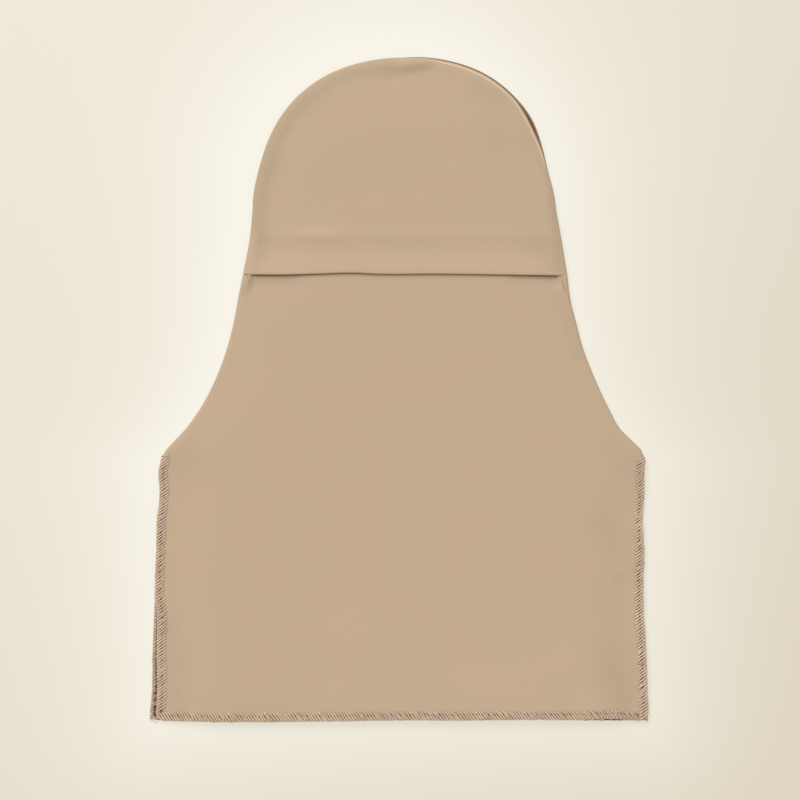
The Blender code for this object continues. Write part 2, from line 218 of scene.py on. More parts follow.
@dataclass(frozen=True)
class Outline:
    """The garment's laid outline, from a few widths and heights."""

    crown_width: float = 0.2265
    slit_width: float = 0.2430
    shoulder_width: float = 0.3615
    hem_width: float = 0.3650
    crown_rise: float = 0.1125
    hood_drop: float = 0.0510
    neck_drop: float = 0.1365
    bib_drop: float = 0.1965
    shoulder_round: float = 0.0060
    hem_wrap: float = 0.0008
    roll_radius: float = 0.0030
    neck_lean: float = 0.30
    neck_curve: float = 2.60
    hood_lean: float = 0.90
    square_past: float = 0.0080
    nudge: float = 0.0001
    nudge_degrees: float = 0.5
    crown_arc: tuple[ArcRow, ...] = (
        ArcRow(0, 1.000),
        ArcRow(15, 1.012),
        ArcRow(30, 1.024),
        ArcRow(45, 1.021),
        ArcRow(60, 1.004),
        ArcRow(75, 0.991),
        ArcRow(90, 1.000),
    )
    seam_roll: tuple[RollRow, ...] = (
        RollRow(-90, 0.0, 0.0),
        RollRow(-8, 0.0, 0.0),
        RollRow(4, 0.0010, 0.0008),
        RollRow(16, 0.0019, 0.0014),
        RollRow(35, 0.0021, 0.0019),
        RollRow(45, 0.0024, 0.0020),
        RollRow(54, 0.0037, 0.0022),
        RollRow(62, 0.0029, 0.0014),
        RollRow(69, 0.0014, 0.0007),
        RollRow(77, 0.0003, 0.0),
        RollRow(90, 0.0, 0.0),
    )

    @property
    def hem_y(self) -> float:
        """The height of the hem's cloth edge."""
        return (self.hem_wrap - self.crown_rise - self.hood_drop - self.neck_drop - self.bib_drop) / 2

    @property
    def shoulder_y(self) -> float:
        """The height of the shoulders."""
        return self.hem_y + self.bib_drop

    @property
    def slit_y(self) -> float:
        """The height of the face slit."""
        return self.shoulder_y + self.neck_drop

    @property
    def centre_y(self) -> float:
        """The height of the crown's centre."""
        return self.slit_y + self.hood_drop

    def flare_width(self, y: Array) -> Array:
        """Half the width below the slit: part of it grows evenly, the rest with a power."""
        q = np.clip((self.slit_y - y) / self.neck_drop, 0, 1)
        share = self.neck_lean * q + (1 - self.neck_lean) * q**self.neck_curve
        return mix(self.slit_width, self.shoulder_width, share) / 2

    def hood_width(self, y: Array) -> Array:
        """Half the width above the slit: a shallow parabola."""
        q = (self.centre_y - y) / self.hood_drop
        share = self.hood_lean * q + (1 - self.hood_lean) * q * q
        return mix(self.crown_width, self.slit_width, share) / 2

    def side_width(self, y: Array) -> Array:
        """Half the width below the shoulder: a straight, slightly leaning side."""
        share = (self.shoulder_y - y) / self.bib_drop
        return mix(self.shoulder_width, self.hem_width, share) / 2

    def shoulder_corner(self) -> tuple[float, float, float, float]:
        """The shoulder's round corner.

        Returns:
            Its centre, across and along the garment, and the heights of its ends.
        """
        side_lean = math.atan((self.hem_width - self.shoulder_width) / 2 / self.bib_drop)
        steepness = self.neck_lean + (1 - self.neck_lean) * self.neck_curve
        flare = (self.shoulder_width - self.slit_width) / 2
        flare_lean = math.atan(steepness * flare / self.neck_drop)
        tangent = self.shoulder_round * math.tan((flare_lean - side_lean) / 2)
        low = self.shoulder_y - tangent * math.cos(side_lean)
        high = self.shoulder_y + tangent * math.cos(flare_lean)
        centre_x = float(self.side_width(low)) - self.shoulder_round * math.cos(side_lean)
        centre_y = low - self.shoulder_round * math.sin(side_lean)
        return centre_x, centre_y, low, high

    def half_width(self, y: Array) -> Array:
        """Half the width, by the side, the round corner, the flare or the hood.

        Args:
            y: Heights from the hem to the crown's centre.

        Returns:
            Half the width at each.
        """
        centre_x, centre_y, low, high = self.shoulder_corner()
        reach = np.maximum(self.shoulder_round**2 - (y - centre_y) ** 2, 0)
        bands = [y > self.slit_y, y >= high, y > low]
        widths = [self.hood_width(y), self.flare_width(y), centre_x + np.sqrt(reach)]
        return np.select(bands, widths, self.side_width(y))

    def crown_point(self, degrees: Array) -> Array:
        """Points of the crown: an ellipse whose radius swells by shares, plus the proud seam.

        Args:
            degrees: How far each leans from the crown's top, to the right.

        Returns:
            The points.
        """
        angle = np.radians(degrees)
        share = through(self.crown_arc, np.abs(degrees), "share")
        proud = through(self.seam_roll, degrees, "proud")
        x = (self.crown_width / 2 * share + proud) * np.sin(angle)
        y = self.centre_y + (self.crown_rise * share + proud) * np.cos(angle)
        return np.stack((x, y), axis=-1)

    def level(self, y: Array, side: Side) -> Rows:
        """Rows straight across the garment at heights below the crown's centre.

        A row points in square to the outline, except near the slit and the hem, where it turns
        level so that those edges are straight.

        Args:
            y: The heights.
            side: The half of the garment.

        Returns:
            The rows, in the order of the heights.
        """
        y = np.asarray(y, float)
        wider = self.half_width(y - self.nudge) - self.half_width(y + self.nudge)
        lean = np.arctan(wider / (2 * self.nudge))
        square_run = self.shoulder_round + self.square_past
        lean = lean * smooth(np.abs(y - self.slit_y) / square_run)
        lean = lean * smooth((y - self.hem_y) / square_run)
        inward = np.stack((-np.cos(lean), -np.sin(lean)), axis=-1)
        outline = np.stack((self.half_width(y), y), axis=-1)
        spine = np.stack((np.zeros_like(y), y + inward[:, 1] * self.roll_radius), axis=-1)
        return Rows(side, outline, inward, spine, y, np.full_like(y, 90.0 * side.value))

    def fan(self, degrees: Array, side: Side) -> Rows:
        """Rows that fan from the crown's centre to its outline.

        Args:
            degrees: How far each row leans from the crown's top, from 0 to 90.
            side: The half of the garment.

        Returns:
            The rows, in the order of the degrees.
        """
        mirror = np.array((side.value, 1.0))
        low = np.maximum(degrees - self.nudge_degrees, -90)
        high = np.minimum(degrees + self.nudge_degrees, 90)
        outline = self.crown_point(side.value * degrees) * mirror
        along = (self.crown_point(side.value * low) - self.crown_point(side.value * high)) * mirror
        inward = unit(np.stack((-along[:, 1], along[:, 0]), axis=-1))
        spine = np.broadcast_to((0.0, self.centre_y), outline.shape)
        return Rows(side, outline, inward, spine, outline[:, 1], side.value * degrees)


class StrayRow(NamedTuple):
    """How far the outlines have strayed to the right, by height."""

    y: float
    front_left: float
    front_right: float
    back_left: float
    back_right: float


class EdgeRow(NamedTuple):
    """How far an edge bows or sags from its straight line, and how far it lifts, across the width."""

    x: float
    rise: float
    lift: float = 0.0


class Crease(NamedTuple):
    """A soft line along a path of straight runs.

    It is a ridge, or a valley where its height is negative, or painted shade of that strength, which is
    painted light where negative.
    """

    path: tuple[tuple[float, float], ...]
    width: float
    height: float
    layers: tuple[Layer, ...]


def path_gap(path: Sequence[tuple[float, float]], x: Array, y: Array) -> Array:
    """The distance from a path: the least of the distances from its straight runs.

    Args:
        path: The ends of its runs.
        x: Where the points are across the garment.
        y: Where they are along it.

    Returns:
        The distance of each point.
    """
    gap = np.full(np.broadcast(x, y).shape, np.inf)
    for start, end in zip(np.array(path[:-1]), np.array(path[1:])):
        run = end - start
        share = np.clip(((x - start[0]) * run[0] + (y - start[1]) * run[1]) / (run @ run), 0, 1)
        gap = np.minimum(gap, np.hypot(x - start[0] - share * run[0], y - start[1] - share * run[1]))
    return gap


def soft_lines(lines: Sequence[Crease], x: Array, y: Array, layer: Layer) -> Array:
    """The sum of a layer's lines, each a bell curve of the distance from its path.

    Args:
        lines: The lines of all layers.
        x: Where the points are across the garment.
        y: Where they are along it.
        layer: The layer.

    Returns:
        The sum at each point.
    """
    total = np.zeros(np.broadcast(x, y).shape)
    for line in lines:
        if layer in line.layers:
            total = total + line.height * bump(path_gap(line.path, x, y) / line.width)
    return total


class ShadeRow(NamedTuple):
    """How strong the painted shade in the crevice under the crown's fold is, across the width."""

    x: float
    share: float


@dataclass(frozen=True)
class Waves:
    """Gentle seeded waves: a sum of sines, each with its own direction, length and phase."""

    seed: int
    count: int
    shortest: float
    longest: float
    height: float

    def at(self, x: Array, y: Array) -> Array:
        """The height of the waves.

        Args:
            x: Where the points are across the garment.
            y: Where they are along it.

        Returns:
            The height at each point.
        """
        dice = np.random.default_rng(self.seed)
        lengths = dice.uniform(self.shortest, self.longest, self.count)
        turns = dice.uniform(0, TURN, self.count)
        phases = dice.uniform(0, TURN, self.count)
        total = np.zeros(np.broadcast(x, y).shape)
        for length, turn, phase in zip(lengths, turns, phases):
            run = x * math.cos(turn) + y * math.sin(turn)
            total += np.sin(TURN * run / length + phase)
        return total * self.height / math.sqrt(self.count)


BACK, BIB, CROWN = ((layer,) for layer in Layer)
FRONT = BIB + CROWN


@dataclass(frozen=True)
class Lay:
    """How the garment lies: it strays sideways, its slit bows, its hem sags and its cloth creases."""

    outline: Outline = field(default_factory=Outline)
    origin_x: float = 0.00225
    back_slip: float = 0.0045
    stray: tuple[StrayRow, ...] = (
        StrayRow(-0.2475, -0.0015, 0.0004, -0.0022, 0.0002),
        StrayRow(-0.2310, -0.0004, -0.0002, -0.0012, -0.0004),
        StrayRow(-0.1955, -0.0009, -0.0012, -0.0021, -0.0013),
        StrayRow(-0.1730, -0.0006, -0.0023, -0.0020, -0.0023),
        StrayRow(-0.1505, -0.0026, -0.0030, -0.0021, -0.0030),
        StrayRow(-0.1235, -0.0023, -0.0019, -0.0018, -0.0019),
        StrayRow(-0.0965, -0.0017, -0.0027, -0.0017, -0.0027),
        StrayRow(-0.0785, 0.0001, -0.0015, 0.0001, -0.0015),
        StrayRow(-0.0590, -0.0004, -0.0011, -0.0004, -0.0011),
        StrayRow(-0.0545, 0.0006, -0.0006, 0.0006, -0.0006),
        StrayRow(-0.0515, 0.0001, 0.0000, 0.0001, 0.0000),
        StrayRow(-0.0485, -0.0017, 0.0016, -0.0017, 0.0016),
        StrayRow(-0.0455, -0.0025, 0.0036, -0.0025, 0.0036),
        StrayRow(-0.0410, -0.0022, 0.0028, -0.0022, 0.0028),
        StrayRow(-0.0290, -0.0004, 0.0003, -0.0004, 0.0003),
        StrayRow(-0.0170, 0.0002, 0.0017, 0.0002, 0.0017),
        StrayRow(0.0130, 0.0002, 0.0033, 0.0002, 0.0033),
        StrayRow(0.0310, 0.0001, 0.0029, 0.0001, 0.0029),
        StrayRow(0.0490, 0.0000, 0.0029, 0.0000, 0.0029),
        StrayRow(0.0670, 0.0000, 0.0018, 0.0000, 0.0018),
        StrayRow(0.0895, 0.0012, 0.0022, 0.0012, 0.0022),
        StrayRow(0.1120, 0.0016, 0.0022, 0.0016, 0.0022),
        StrayRow(0.1420, 0.0000, 0.0014, 0.0000, 0.0014),
        StrayRow(0.1720, -0.0002, 0.0001, -0.0002, 0.0001),
        StrayRow(0.2020, -0.0012, 0.0018, -0.0012, 0.0018),
        StrayRow(0.2320, -0.0019, 0.0027, -0.0019, 0.0027),
        StrayRow(0.2490, -0.0022, 0.0034, -0.0022, 0.0034),
    )
    slit_bow: tuple[EdgeRow, ...] = (
        EdgeRow(-0.121, 0.0008),
        EdgeRow(-0.107, 0.0007, 0.0002),
        EdgeRow(-0.092, 0.0006, 0.0003),
        EdgeRow(-0.072, 0.0010, 0.0001),
        EdgeRow(-0.060, 0.0014),
        EdgeRow(-0.037, 0.0019),
        EdgeRow(-0.021, 0.0011),
        EdgeRow(0.022, 0.0012),
        EdgeRow(0.060, 0.0007),
        EdgeRow(0.088, 0.0003, 0.0002),
        EdgeRow(0.106, 0.0001, 0.0002),
        EdgeRow(0.117, 0.0),
    )
    slit_bow_run: float = 0.040
    slit_lift_run: float = 0.014
    front_hem: tuple[EdgeRow, ...] = (
        EdgeRow(-0.183, -0.0002),
        EdgeRow(-0.160, -0.0004),
        EdgeRow(-0.130, -0.0007),
        EdgeRow(-0.055, 0.0000),
        EdgeRow(0.000, 0.0007),
        EdgeRow(0.035, 0.0006),
        EdgeRow(0.080, 0.0011),
        EdgeRow(0.110, 0.0010),
        EdgeRow(0.122, 0.0008),
        EdgeRow(0.133, 0.0013, 0.0009),
        EdgeRow(0.141, 0.0015, 0.0014),
        EdgeRow(0.162, 0.0018, 0.0018),
        EdgeRow(0.175, 0.0000, 0.0002),
        EdgeRow(0.183, -0.0006),
    )
    back_hem: tuple[EdgeRow, ...] = (
        EdgeRow(-0.183, 0.0),
        EdgeRow(-0.160, -0.0002),
        EdgeRow(-0.130, -0.0003),
        EdgeRow(-0.055, 0.0005),
        EdgeRow(0.000, 0.0011),
        EdgeRow(0.080, 0.0015),
        EdgeRow(0.118, 0.0010),
        EdgeRow(0.132, 0.0001),
        EdgeRow(0.163, 0.0),
        EdgeRow(0.183, -0.0002),
    )
    hem_run: float = 0.030
    creases: tuple[Crease, ...] = (
        Crease(((-0.006, 0.2330), (0.026, 0.2420)), 0.0045, -0.0009, FRONT),
        Crease(((-0.012, 0.2425), (0.018, 0.2455)), 0.0035, 0.0005, FRONT),
        Crease(((-0.078, 0.1150), (-0.049, 0.1155)), 0.0050, 0.0004, FRONT),
        Crease(((-0.108, 0.1130), (0.116, 0.1130)), 0.0055, 0.0003, FRONT),
        Crease(((0.0590, 0.2240), (0.0760, 0.2150)), 0.0050, -0.0004, FRONT),
        Crease(((0.0735, 0.1850), (0.0740, 0.1815)), 0.0040, -0.0003, FRONT),
        Crease(((0.1118, 0.0827), (0.1130, 0.0815)), 0.0035, -0.0008, BIB),
        Crease(((-0.1080, 0.0836), (-0.0790, 0.0842)), 0.0034, -0.0005, BIB),
        Crease(((0.0850, 0.0838), (0.1120, 0.0834)), 0.0030, -0.0004, BIB),
        Crease(((0.1643, -0.1400), (0.1763, -0.1325)), 0.0030, 0.0005, BIB),
        Crease(((0.1660, -0.1460), (0.1790, -0.1500)), 0.0030, -0.0004, BIB),
    )
    # Painted shading: greenish painted shade along these paths, and painted light where the strength is
    # negative.
    painted_shadings: tuple[Crease, ...] = (
        Crease(((-0.1060, 0.1000), (-0.1045, 0.1160)), 0.0085, 0.60, FRONT),
        Crease(((-0.1080, 0.1250), (-0.1060, 0.1455), (-0.1000, 0.1733), (-0.0884, 0.1993)),
               0.0065, 0.95, FRONT),
        Crease(((-0.0884, 0.1993), (-0.0700, 0.2213), (-0.0453, 0.2366), (-0.0100, 0.2440)),
               0.0070, 0.75, FRONT),
        Crease(((-0.0950, 0.1620), (-0.0900, 0.1730)), 0.0060, 0.35, FRONT),
        Crease(((-0.0700, 0.2080), (-0.0560, 0.2170)), 0.0070, 0.35, FRONT),
        Crease(((0.0060, 0.2370), (0.0240, 0.2415)), 0.0050, 0.60, FRONT),
        Crease(((0.0560, 0.2230), (0.0760, 0.2170)), 0.0070, 0.50, FRONT),
        Crease(((0.0730, 0.1880), (0.0740, 0.1820)), 0.0080, 0.35, FRONT),
        Crease(((0.0920, 0.1800), (0.1000, 0.2000)), 0.0050, 0.25, FRONT),
        Crease(((0.1110, 0.1750), (0.1180, 0.0900)), 0.0030, 0.60, FRONT),
        Crease(((0.1020, 0.1080), (0.1140, 0.0960)), 0.0080, 0.40, FRONT),
        Crease(((-0.1060, 0.0950), (0.1080, 0.0950)), 0.0085, -0.55, CROWN),
        Crease(((-0.0700, 0.1180), (-0.0540, 0.1180)), 0.0060, -0.30, CROWN),
        Crease(((-0.1050, 0.1120), (0.1100, 0.1120)), 0.0035, 0.25, CROWN),
        Crease(((-0.1160, 0.0745), (-0.1090, 0.0820), (-0.0800, 0.0830)), 0.0048, 0.95, BIB),
        Crease(((0.0850, 0.0825), (0.1150, 0.0820)), 0.0050, 0.55, BIB),
        Crease(((-0.1740, -0.0520), (-0.1590, -0.0500)), 0.0120, 0.50, BIB),
        Crease(((0.1600, -0.0420), (0.1760, -0.0600)), 0.0110, 0.40, BIB),
        Crease(((-0.1690, -0.1750), (-0.1680, -0.2350)), 0.0090, 0.45, BIB),
        Crease(((-0.1650, -0.2330), (-0.0900, -0.2390)), 0.0060, 0.30, BIB),
        Crease(((0.1560, -0.2000), (0.1660, -0.2300)), 0.0140, 0.55, BIB),
        Crease(((0.1500, -0.1000), (0.1690, -0.1300)), 0.0110, 0.30, BIB),
        Crease(((0.1180, 0.0700), (0.1330, 0.0250)), 0.0040, 0.45, BIB),
        Crease(((-0.1220, 0.0560), (-0.1420, -0.0050)), 0.0035, 0.30, BIB),
        Crease(((0.0200, 0.2490), (0.0700, 0.2350)), 0.0050, 0.80, BACK),
        Crease(((0.0700, 0.2350), (0.1080, 0.1850)), 0.0060, 1.00, BACK),
    )
    # Painted shade on the back's threads: in the gap under the front's hem and along the left side.
    glooms: tuple[Crease, ...] = (
        Crease(((0.1360, -0.2486), (0.1640, -0.2484)), 0.0022, 1.00, BACK),
        Crease(((-0.1808, -0.0900), (-0.1815, -0.1750), (-0.1840, -0.2450)), 0.0015, 0.75, BACK),
    )
    fold_shade: tuple[ShadeRow, ...] = (
        ShadeRow(-0.119, 0.10),
        ShadeRow(-0.112, 1.00),
        ShadeRow(-0.085, 1.00),
        ShadeRow(-0.060, 0.70),
        ShadeRow(-0.020, 0.50),
        ShadeRow(0.060, 0.55),
        ShadeRow(0.090, 0.95),
        ShadeRow(0.112, 1.00),
        ShadeRow(0.119, 0.35),
    )
    swell: Waves = Waves(11, 9, 0.055, 0.160, 0.00022)
    side_ripple: Waves = Waves(23, 7, 0.009, 0.034, 0.00010)
    side_lift: Waves = Waves(29, 7, 0.011, 0.040, 0.00030)
    back_shift: float = 0.7
    painted_shade_mottle: Waves = Waves(53, 6, 0.0022, 0.0060, 0.70)
    ripple_run: float = 0.012
    roll_low: float = 0.0031
    roll_high: float = 0.0055

    def edge_wave(self, local: Array, y: Array, layer: Layer) -> tuple[Array, Array, Array]:
        """How the overlocked edges ripple.

        Args:
            local: How far the points lie to the right of the spine.
            y: Where they are along it.
            layer: The panel that they belong to.

        Returns:
            How far they move sideways at the sides, lengthways at the hem, and up.
        """
        inside = self.outline.half_width(np.minimum(y, self.outline.centre_y)) - np.abs(local)
        below = smooth((self.outline.shoulder_y - y) / self.ripple_run)
        side = below * (1 - smooth(inside / self.ripple_run))
        hem = 1 - smooth((y - self.outline.hem_y) / self.ripple_run)
        shift = self.back_shift if layer is Layer.BACK else 0.0
        along_side = self.side_ripple.at(y + shift, np.sign(local) + 0.0 * y)
        along_hem = self.side_ripple.at(local + shift, 0.0 * y)
        lift = self.side_lift.at(y + shift, local) * np.maximum(side, hem)
        lift = np.abs(lift) if layer is Layer.BACK else lift
        return along_side * side, along_hem * hem, lift

    def relief(self, x: Array, y: Array, layer: Layer) -> Array:
        """The height of the swells and creases at points of a layer."""
        swell = self.swell.at(x, y) if layer in FRONT else 0.0
        return swell + soft_lines(self.creases, x, y, layer)

    def cast(self, points: Array, layer: Layer) -> Array:
        """How strongly painted shade tints settled points greenish, or where negative painted light
        makes them paler.
        """
        return soft_lines(self.painted_shadings, points[..., 0], points[..., 1], layer)

    def gloom(self, points: Array, layer: Layer) -> Array:
        """How much painted shade darkens settled points of the threads where they lie between the bibs.
        """
        x, y = points[..., 0], points[..., 1]
        return np.clip(soft_lines(self.glooms, x, y, layer) * (1 + self.painted_shade_mottle.at(x, y)), 0, 1)

    def settle(self, points: Array, layer: Layer) -> Array:
        """Moves points of the true layout to where the laid garment has them.

        The sideways stray is mixed across the width from its values at the left and right
        outlines. The slit's bow and the hem's sag fade out with the distance from their edges.
        The relief lifts only what lies above the rolled edge's lower half.

        Args:
            points: The points in the garment's own frame, with X from its spine.
            layer: The panel that they belong to, or that their thread is stitched to.

        Returns:
            The points in world coordinates.
        """
        x, y, z = np.moveaxis(points, -1, 0)
        outline = self.outline
        width = outline.half_width(np.clip(y, outline.hem_y, outline.centre_y))
        across = np.clip(x / width, -1, 1) / 2 + 0.5
        left = through(self.stray, y, f"{layer.face}_left")
        right = through(self.stray, y, f"{layer.face}_right")
        ripple_x, ripple_y, lift = self.edge_wave(x, y, layer)
        move_x = mix(left, right, across) + ripple_x
        near_hem = 1 - smooth((y - outline.hem_y) / self.hem_run)
        hem = self.back_hem if layer is Layer.BACK else self.front_hem
        move_y = ripple_y + through(hem, x, "rise") * near_hem
        lift = lift + through(hem, x, "lift") * near_hem
        if layer is Layer.BACK:
            drop = np.maximum(0, (outline.shoulder_y - y) / outline.bib_drop)
            move_x = move_x - self.back_slip * drop * drop
        else:
            near_slit = 1 - smooth(np.abs(y - outline.slit_y) / self.slit_bow_run)
            move_y = move_y + through(self.slit_bow, x, "rise") * near_slit
        if layer is Layer.CROWN:
            lifted = 1 - smooth((y - outline.slit_y) / self.slit_lift_run)
            lift = lift + through(self.slit_bow, x, "lift") * lifted
        raised = smooth((z - self.roll_low) / (self.roll_high - self.roll_low))
        move_z = lift + self.relief(x + self.origin_x, y, layer) * raised
        return np.stack((x + move_x + self.origin_x, y + move_y, z + move_z), axis=-1)


@dataclass(frozen=True)
class Plies:
    """Thicknesses and heights of the cloth's middle, and how its edges roll and turn in."""

    cloth: float = 0.0008
    roll: float = 0.0026
    seam_z: float = 0.00302
    back_edge_z: float = 0.0013
    front_edge_z: float = 0.0042
    bib_z: float = 0.0075
    mouth_z: float = 0.0084
    crown_hem_z: float = 0.0102
    crown_z: float = 0.0095
    layer: float = 0.00135
    reach: float = 0.0380
    mouth_run: float = 0.0800
    settle_run: float = 0.0120
    unroll_above: float = 0.0030
    unroll_run: float = 0.0080
    level_run: float = 0.0450
    lift_run: float = 0.0085
    overlock_width: float = 0.0065
    needle_gap: float = 0.0029
    dark_width: float = 0.0013
    gap: float = 0.0003
    seam_half_gap: float = 0.00043
    lip_radius: float = 0.00055
    lip_depth: float = 0.00080
    lip_turns: int = 4
    lip_straights: int = 2
    hem_turn: float = 0.0280
    tuck: float = 0.0220
    tuck_inset: float = 0.0062
    dip_run: float = 0.0160
    fold_inset: float = -0.0018
    fold_dark: float = 0.0010
    fold_fade: float = 0.0004
    wrap_seam: float = 0.0060
    wrap_run_left: float = 0.0120
    wrap_run_right: float = 0.0260

    @property
    def back_z(self) -> float:
        """The height of the back panel's middle."""
        return self.seam_z - self.roll

    @property
    def lip_arc(self) -> float:
        """The length of cloth in the turn of a seam's lip."""
        return self.lip_radius * SQUARE

    @property
    def lip_columns(self) -> int:
        """The number of columns on a seam's lip."""
        return self.lip_turns + self.lip_straights

    @property
    def edge_flat(self) -> float:
        """How far the flat edge below the shoulder reaches past the start of the roll."""
        return self.roll * SQUARE - self.seam_half_gap - self.lip_radius + self.lip_arc

    @property
    def casing_clear(self) -> float:
        """Where the overlock's inner side lies, past the start of the roll."""
        return self.overlock_width - self.edge_flat + self.gap


class Section(NamedTuple):
    """Points across panels: place, upward normal, and the place on the flat cut cloth."""

    place: Array
    normal: Array
    flat: Array


def spread(values: Array) -> Array:
    """Row values shaped to be mixed with columns."""
    return values[:, None]


@dataclass(frozen=True)
class Panel:
    """A panel's middle surface: how high it lies, and how its edge rolls or lies flat."""

    outline: Outline = field(default_factory=Outline)
    plies: Plies = field(default_factory=Plies)
    layer: Layer = Layer.CROWN
    growth: float = 2.2
    edge_band: float = 0.045
    press_left: float = 0.32
    press_right: float = 0.25
    press_run: float = 0.0300
    press: tuple[PressRow, ...] = (
        PressRow(-90, 0.60),
        PressRow(-60, 0.55),
        PressRow(-35, 0.55),
        PressRow(-15, 0.65),
        PressRow(0, 0.90),
        PressRow(12, 0.90),
        PressRow(24, 0.55),
        PressRow(40, 0.45),
        PressRow(60, 0.50),
        PressRow(75, 0.35),
        PressRow(90, 0.35),
    )
    profile: tuple[ProfileRow, ...] = (
        ProfileRow(0.000, 0.00),
        ProfileRow(0.002, 0.22),
        ProfileRow(0.004, 0.31),
        ProfileRow(0.006, 0.29),
        ProfileRow(0.009, 0.20),
        ProfileRow(0.013, 0.19),
        ProfileRow(0.020, 0.30),
        ProfileRow(0.034, 0.66),
        ProfileRow(0.055, 0.96),
        ProfileRow(0.070, 1.00),
    )

    def middle(self, y: Array) -> Array:
        """The height of the panel's level middle."""
        raise NotImplementedError

    def height(self, rows: Rows, distance: Array) -> Array:
        """The height at distances from the start of the roll."""
        raise NotImplementedError

    def rolled(self, y: Array) -> Array:
        """1 where the seam rolls the edge, 0 where the edge below the shoulder lies flat."""
        top = self.outline.shoulder_y + self.plies.unroll_above
        return smooth((y - (top - self.plies.unroll_run)) / self.plies.unroll_run)

    def seam(self, rows: Rows) -> Array:
        """How far up the rolled edge the seam lies, measured along the cloth from the equator.

        Over the right of the crown the back panel has rolled up onto the face side. Just below
        the slit's ends it wraps round to the face side too, and slips back as the neck flares.

        Args:
            rows: The rows whose ends lie on the seam.

        Returns:
            The length along the cloth for each row.
        """
        ply, top = self.plies, self.outline.slit_y
        run = ply.wrap_run_left if rows.side is Side.LEFT else ply.wrap_run_right
        wrap = ply.wrap_seam * smooth((rows.y - (top - run)) / run)
        above = rows.y > top + ply.layer / 2 + ply.cloth / 2
        crown = through(self.outline.seam_roll, rows.degrees, "seam")
        return np.where(above, crown, wrap)

    def pressed(self, rows: Rows) -> Array:
        """How strongly the seam allowance shows through, from the crown down to the shoulder.

        Args:
            rows: The rows.

        Returns:
            A share for each row.
        """
        crown = through(self.press, rows.degrees, "share")
        bib = self.press_left if rows.side is Side.LEFT else self.press_right
        down = smooth((self.outline.slit_y + self.press_run / 2 - rows.y) / self.press_run)
        return mix(crown, bib, down)

    def front_share(self, rows: Rows, distance: Array) -> Array:
        """How far the front has risen: a parabola, mixed with the pressed profile.

        Args:
            rows: The rows.
            distance: Distances from the start of the roll, a row for each.

        Returns:
            Shares of the whole rise.
        """
        q = np.clip(distance / self.plies.reach, 0, 1)
        soft = 1 - (1 - q) ** 2
        hard = through(self.profile, np.maximum(distance, 0), "share")
        return mix(soft, hard, spread(self.pressed(rows)))

    def front_turn(self, rows: Rows) -> Array:
        """The slope of the front where its roll starts.

        Args:
            rows: The rows.

        Returns:
            The angle for each row, 0 where the edge lies flat.
        """
        rise = self.middle(rows.y) - self.plies.seam_z - self.plies.roll
        soft = 2 / self.plies.reach
        first, second = self.profile[0], self.profile[1]
        hard = (second.share - first.share) / (second.distance - first.distance)
        slope = rise * mix(soft, hard, self.pressed(rows))
        lean = np.where(rows.y < self.outline.centre_y, -rows.inward[:, 0], 1.0)
        return self.rolled(rows.y) * np.arctan(slope * lean)

    def rolled_height(self, rows: Rows, distance: Array) -> Array:
        """The front's height where the seam rolls its edge."""
        middle = self.middle(rows.y)
        edge = self.plies.seam_z + self.plies.roll * np.cos(self.front_turn(rows))
        return mix(spread(edge), spread(middle), self.front_share(rows, distance))

    def end(self, rows: Rows) -> Array:
        """The distance from the roll's start, negative outwards, at which a front panel's lip turns."""
        ply = self.plies
        length = ply.roll * (SQUARE - self.front_turn(rows)) - self.seam(rows)
        return ply.seam_half_gap + ply.lip_radius - length

    def columns(self, rows: Rows, widest: Array, near: int, far: int) -> Array:
        """Distances of the columns from the roll's start, from the spine outwards.

        The far ones are even. The near ones close up towards the edge, as (exp(kt) - 1) does.

        Args:
            rows: The rows.
            widest: The distance of the spine for each row.
            near: The number of columns near the edge.
            far: The number of columns over the level middle.

        Returns:
            One row of distances for each row.
        """
        shares = np.expm1(self.growth * np.linspace(1, 0, near)) / np.expm1(self.growth)
        close = mix(spread(self.end(rows)), self.edge_band, shares[None, :])
        level = mix(spread(widest), self.edge_band, np.linspace(0, 1, far + 1)[None, :-1])
        return np.concatenate((level, close), axis=1)

    def start(self, rows: Rows) -> Array:
        """The points where the front's roll starts."""
        ply = self.plies
        inset = self.outline.roll_radius - ply.roll * np.sin(self.front_turn(rows))
        return rows.outline + rows.inward * spread(inset)

    def across(self, rows: Rows, distance: Array) -> Section:
        """The front's section at distances from the start of the roll, negative ones on the roll.

        Inside the start the surface is a straight row at the panel's height. Outside it the row
        bends down evenly round the roll, by an arc that opens to a straight line where the edge
        lies flat.

        Args:
            rows: The rows.
            distance: One row of distances for each row.

        Returns:
            The section, on the right side of the garment's own frame.
        """
        base = self.start(rows)
        inner = unit(rows.spine - base)
        first = spread(self.front_turn(rows))
        bend = spread(self.rolled(rows.y) / self.plies.roll)
        along = np.maximum(-distance, 0)
        out, drop = arc_step(first, bend, along)
        inside = np.maximum(distance, 0)[..., None] * inner[:, None]
        place = base[:, None] + inside - out[..., None] * rows.inward[:, None]
        z = self.height(rows, np.maximum(distance, 0)) - drop
        flat = base[:, None] + inside - along[..., None] * rows.inward[:, None]
        turned = np.where(distance < 0, first + bend * along, 0.0)
        sideways = -rows.inward[:, None] * np.sin(turned)[..., None]
        normal = np.concatenate((sideways, np.cos(turned)[..., None]), axis=-1)
        return Section(np.concatenate((place, z[..., None]), axis=-1), normal, flat)

